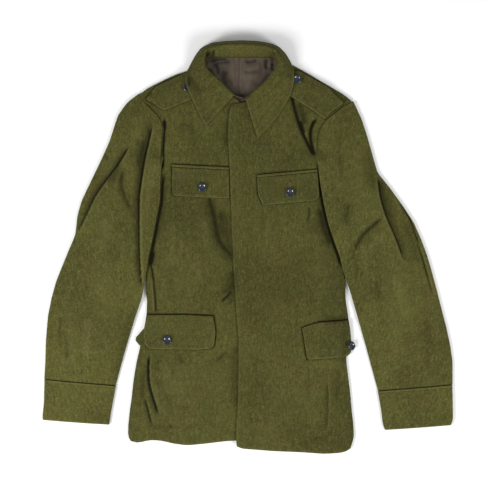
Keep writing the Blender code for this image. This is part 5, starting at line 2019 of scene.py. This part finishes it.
def main() -> None:
    """Build the jacket and its studio."""
    logging.basicConfig(level=logging.INFO, format="%(name)s: %(message)s")
    body_wool = WoolFinish("wool_body", tone=1.07).material()
    sleeve_wool_right = WoolFinish("wool_sleeve_right", -14.0, 1.27).material()
    sleeve_wool_left = WoolFinish("wool_sleeve_left", 14.0, 1.25).material()
    collar_wool = WoolFinish("wool_collar", 38.0, 1.04).material()
    cotton = LiningFinish().material()
    plastic = ButtonFinish().material()
    thread = ThreadFinish().material()
    stitching = Stitching(thread)

    body_relief = Relief(BODY_CREASES)
    sleeve_relief = Relief(SLEEVE_CREASES)
    # Each piece that lies on a front, with the strength of the painted shadow round it.
    lying = [(np.array(outline, float), dark) for outline, dark in (
        (BREAST_FLAP_RIGHT, 0.7), (WELT_RIGHT, 0.45), (HIP_FLAP_RIGHT, 0.85), (STRAP_RIGHT, 0.6),
        (BREAST_FLAP_LEFT, 0.7), (WELT_LEFT, 0.45), (HIP_FLAP_LEFT, 0.85), (STRAP_LEFT, 0.6))]
    right = FrontForm(FRONT_RIGHT, HEM_RIGHT, body_relief, closing=False, shadow_outlines=tuple(lying[:4]))
    left = FrontForm(FRONT_LEFT, HEM_LEFT, body_relief, closing=True, shadow_outlines=tuple(lying[4:]))
    Back(body_wool, cotton, right, left).build()
    fronts = Fronts(body_wool, stitching, right, left).build()

    Tube("sleeve_right", sleeve_wool_right, SLEEVE_RIGHT, right, sleeve_relief,
         Cut(0.320, 0.560, 0.158), shift=(-0.45, -0.45)).build()
    Tube("sleeve_left", sleeve_wool_left, SLEEVE_LEFT, left, sleeve_relief,
         Cut(0.330, 0.570, 0.160), shift=(0.45, -0.45)).build()
    Tube("cuff_right", sleeve_wool_right, CUFF_RIGHT, right, sleeve_relief, Cut(0.265, 0.078, 0.0198),
         wall=2.0, edge_height=5.2, fill=6.0, spacing=1.2, sewn_on=False, shift=(-0.05, -0.95)).build()
    Tube("cuff_left", sleeve_wool_left, CUFF_LEFT, left, sleeve_relief, Cut(0.275, 0.078, 0.0208),
         wall=2.0, edge_height=5.2, fill=6.0, spacing=1.2, sewn_on=False, shift=(0.05, -0.95)).build()

    straps = [
        Patch("strap_right", STRAP_RIGHT, right, body_wool, Cut(0.118, 0.062, 0.0050), 26.0,
              sewn_side=(-0.9, -0.4), stitch=6.5, thread=stitching).build(),
        Patch("strap_left", STRAP_LEFT, left, body_wool, Cut(0.122, 0.062, 0.0056), -36.0,
              sewn_side=(-0.7, 0.4), stitch=6.5, loose=2.6, thread=stitching).build(),
    ]
    flaps = {
        "breast_right": Patch("flap_breast_right", BREAST_FLAP_RIGHT, right, body_wool,
                              Cut(0.106, 0.060, 0.0057), -3.0, thread=stitching).build(),
        "breast_left": Patch("flap_breast_left", BREAST_FLAP_LEFT, left, body_wool,
                             Cut(0.118, 0.064, 0.0059), 5.0, thread=stitching).build(),
        "hip_right": Patch("flap_hip_right", HIP_FLAP_RIGHT, right, body_wool,
                           Cut(0.152, 0.066, 0.0090), 0.0, apron=16.0, corner=7.0,
                           thread=stitching, tab=HIP_TAB_RIGHT).build(),
        "hip_left": Patch("flap_hip_left", HIP_FLAP_LEFT, left, body_wool,
                          Cut(0.096, 0.076, 0.0060), 0.0, apron=14.0, corner=7.0,
                          thread=stitching).build(),
    }
    for name, outline, form, cut, turn in (
            ("welt_breast_right", WELT_RIGHT, right, Cut(0.106, 0.010, 0.00070), -3.0),
            ("welt_breast_left", WELT_LEFT, left, Cut(0.115, 0.010, 0.00076), 5.0)):
        Patch(name, outline, form, body_wool, cut, turn, wall=2.6, corner=1.0, spacing=0.6,
              stitch=30.0, loose=0.0, raise_by=0.3).build()

    buttons = [Button(name, tilt, plastic, thread).build() for name, tilt in (
        ("button_strap_right", -4.0), ("button_strap_left", 4.0), ("button_breast_right", 0.0),
        ("button_breast_left", 0.0), ("button_hip_right", 0.0), ("button_hip_left", 42.0))]
    for name, start, end in (("breast_right", (-86, 131), (-86, 114)),
                             ("breast_left", (80, 121), (81, 104)),
                             ("hip_right", (-153, -158), (-153, -176))):
        Buttonhole("buttonhole_" + name, start, end, flaps[name], thread).build()
    Collar(collar_wool, stitching, [*fronts, *straps, *buttons[:2]]).build()
    Studio().build()

    bpy.context.view_layer.update()
    boxes = [[list(corner) for corner in box] for box in (CAD_BOX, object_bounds())]


if __name__ == "__main__":
    main()
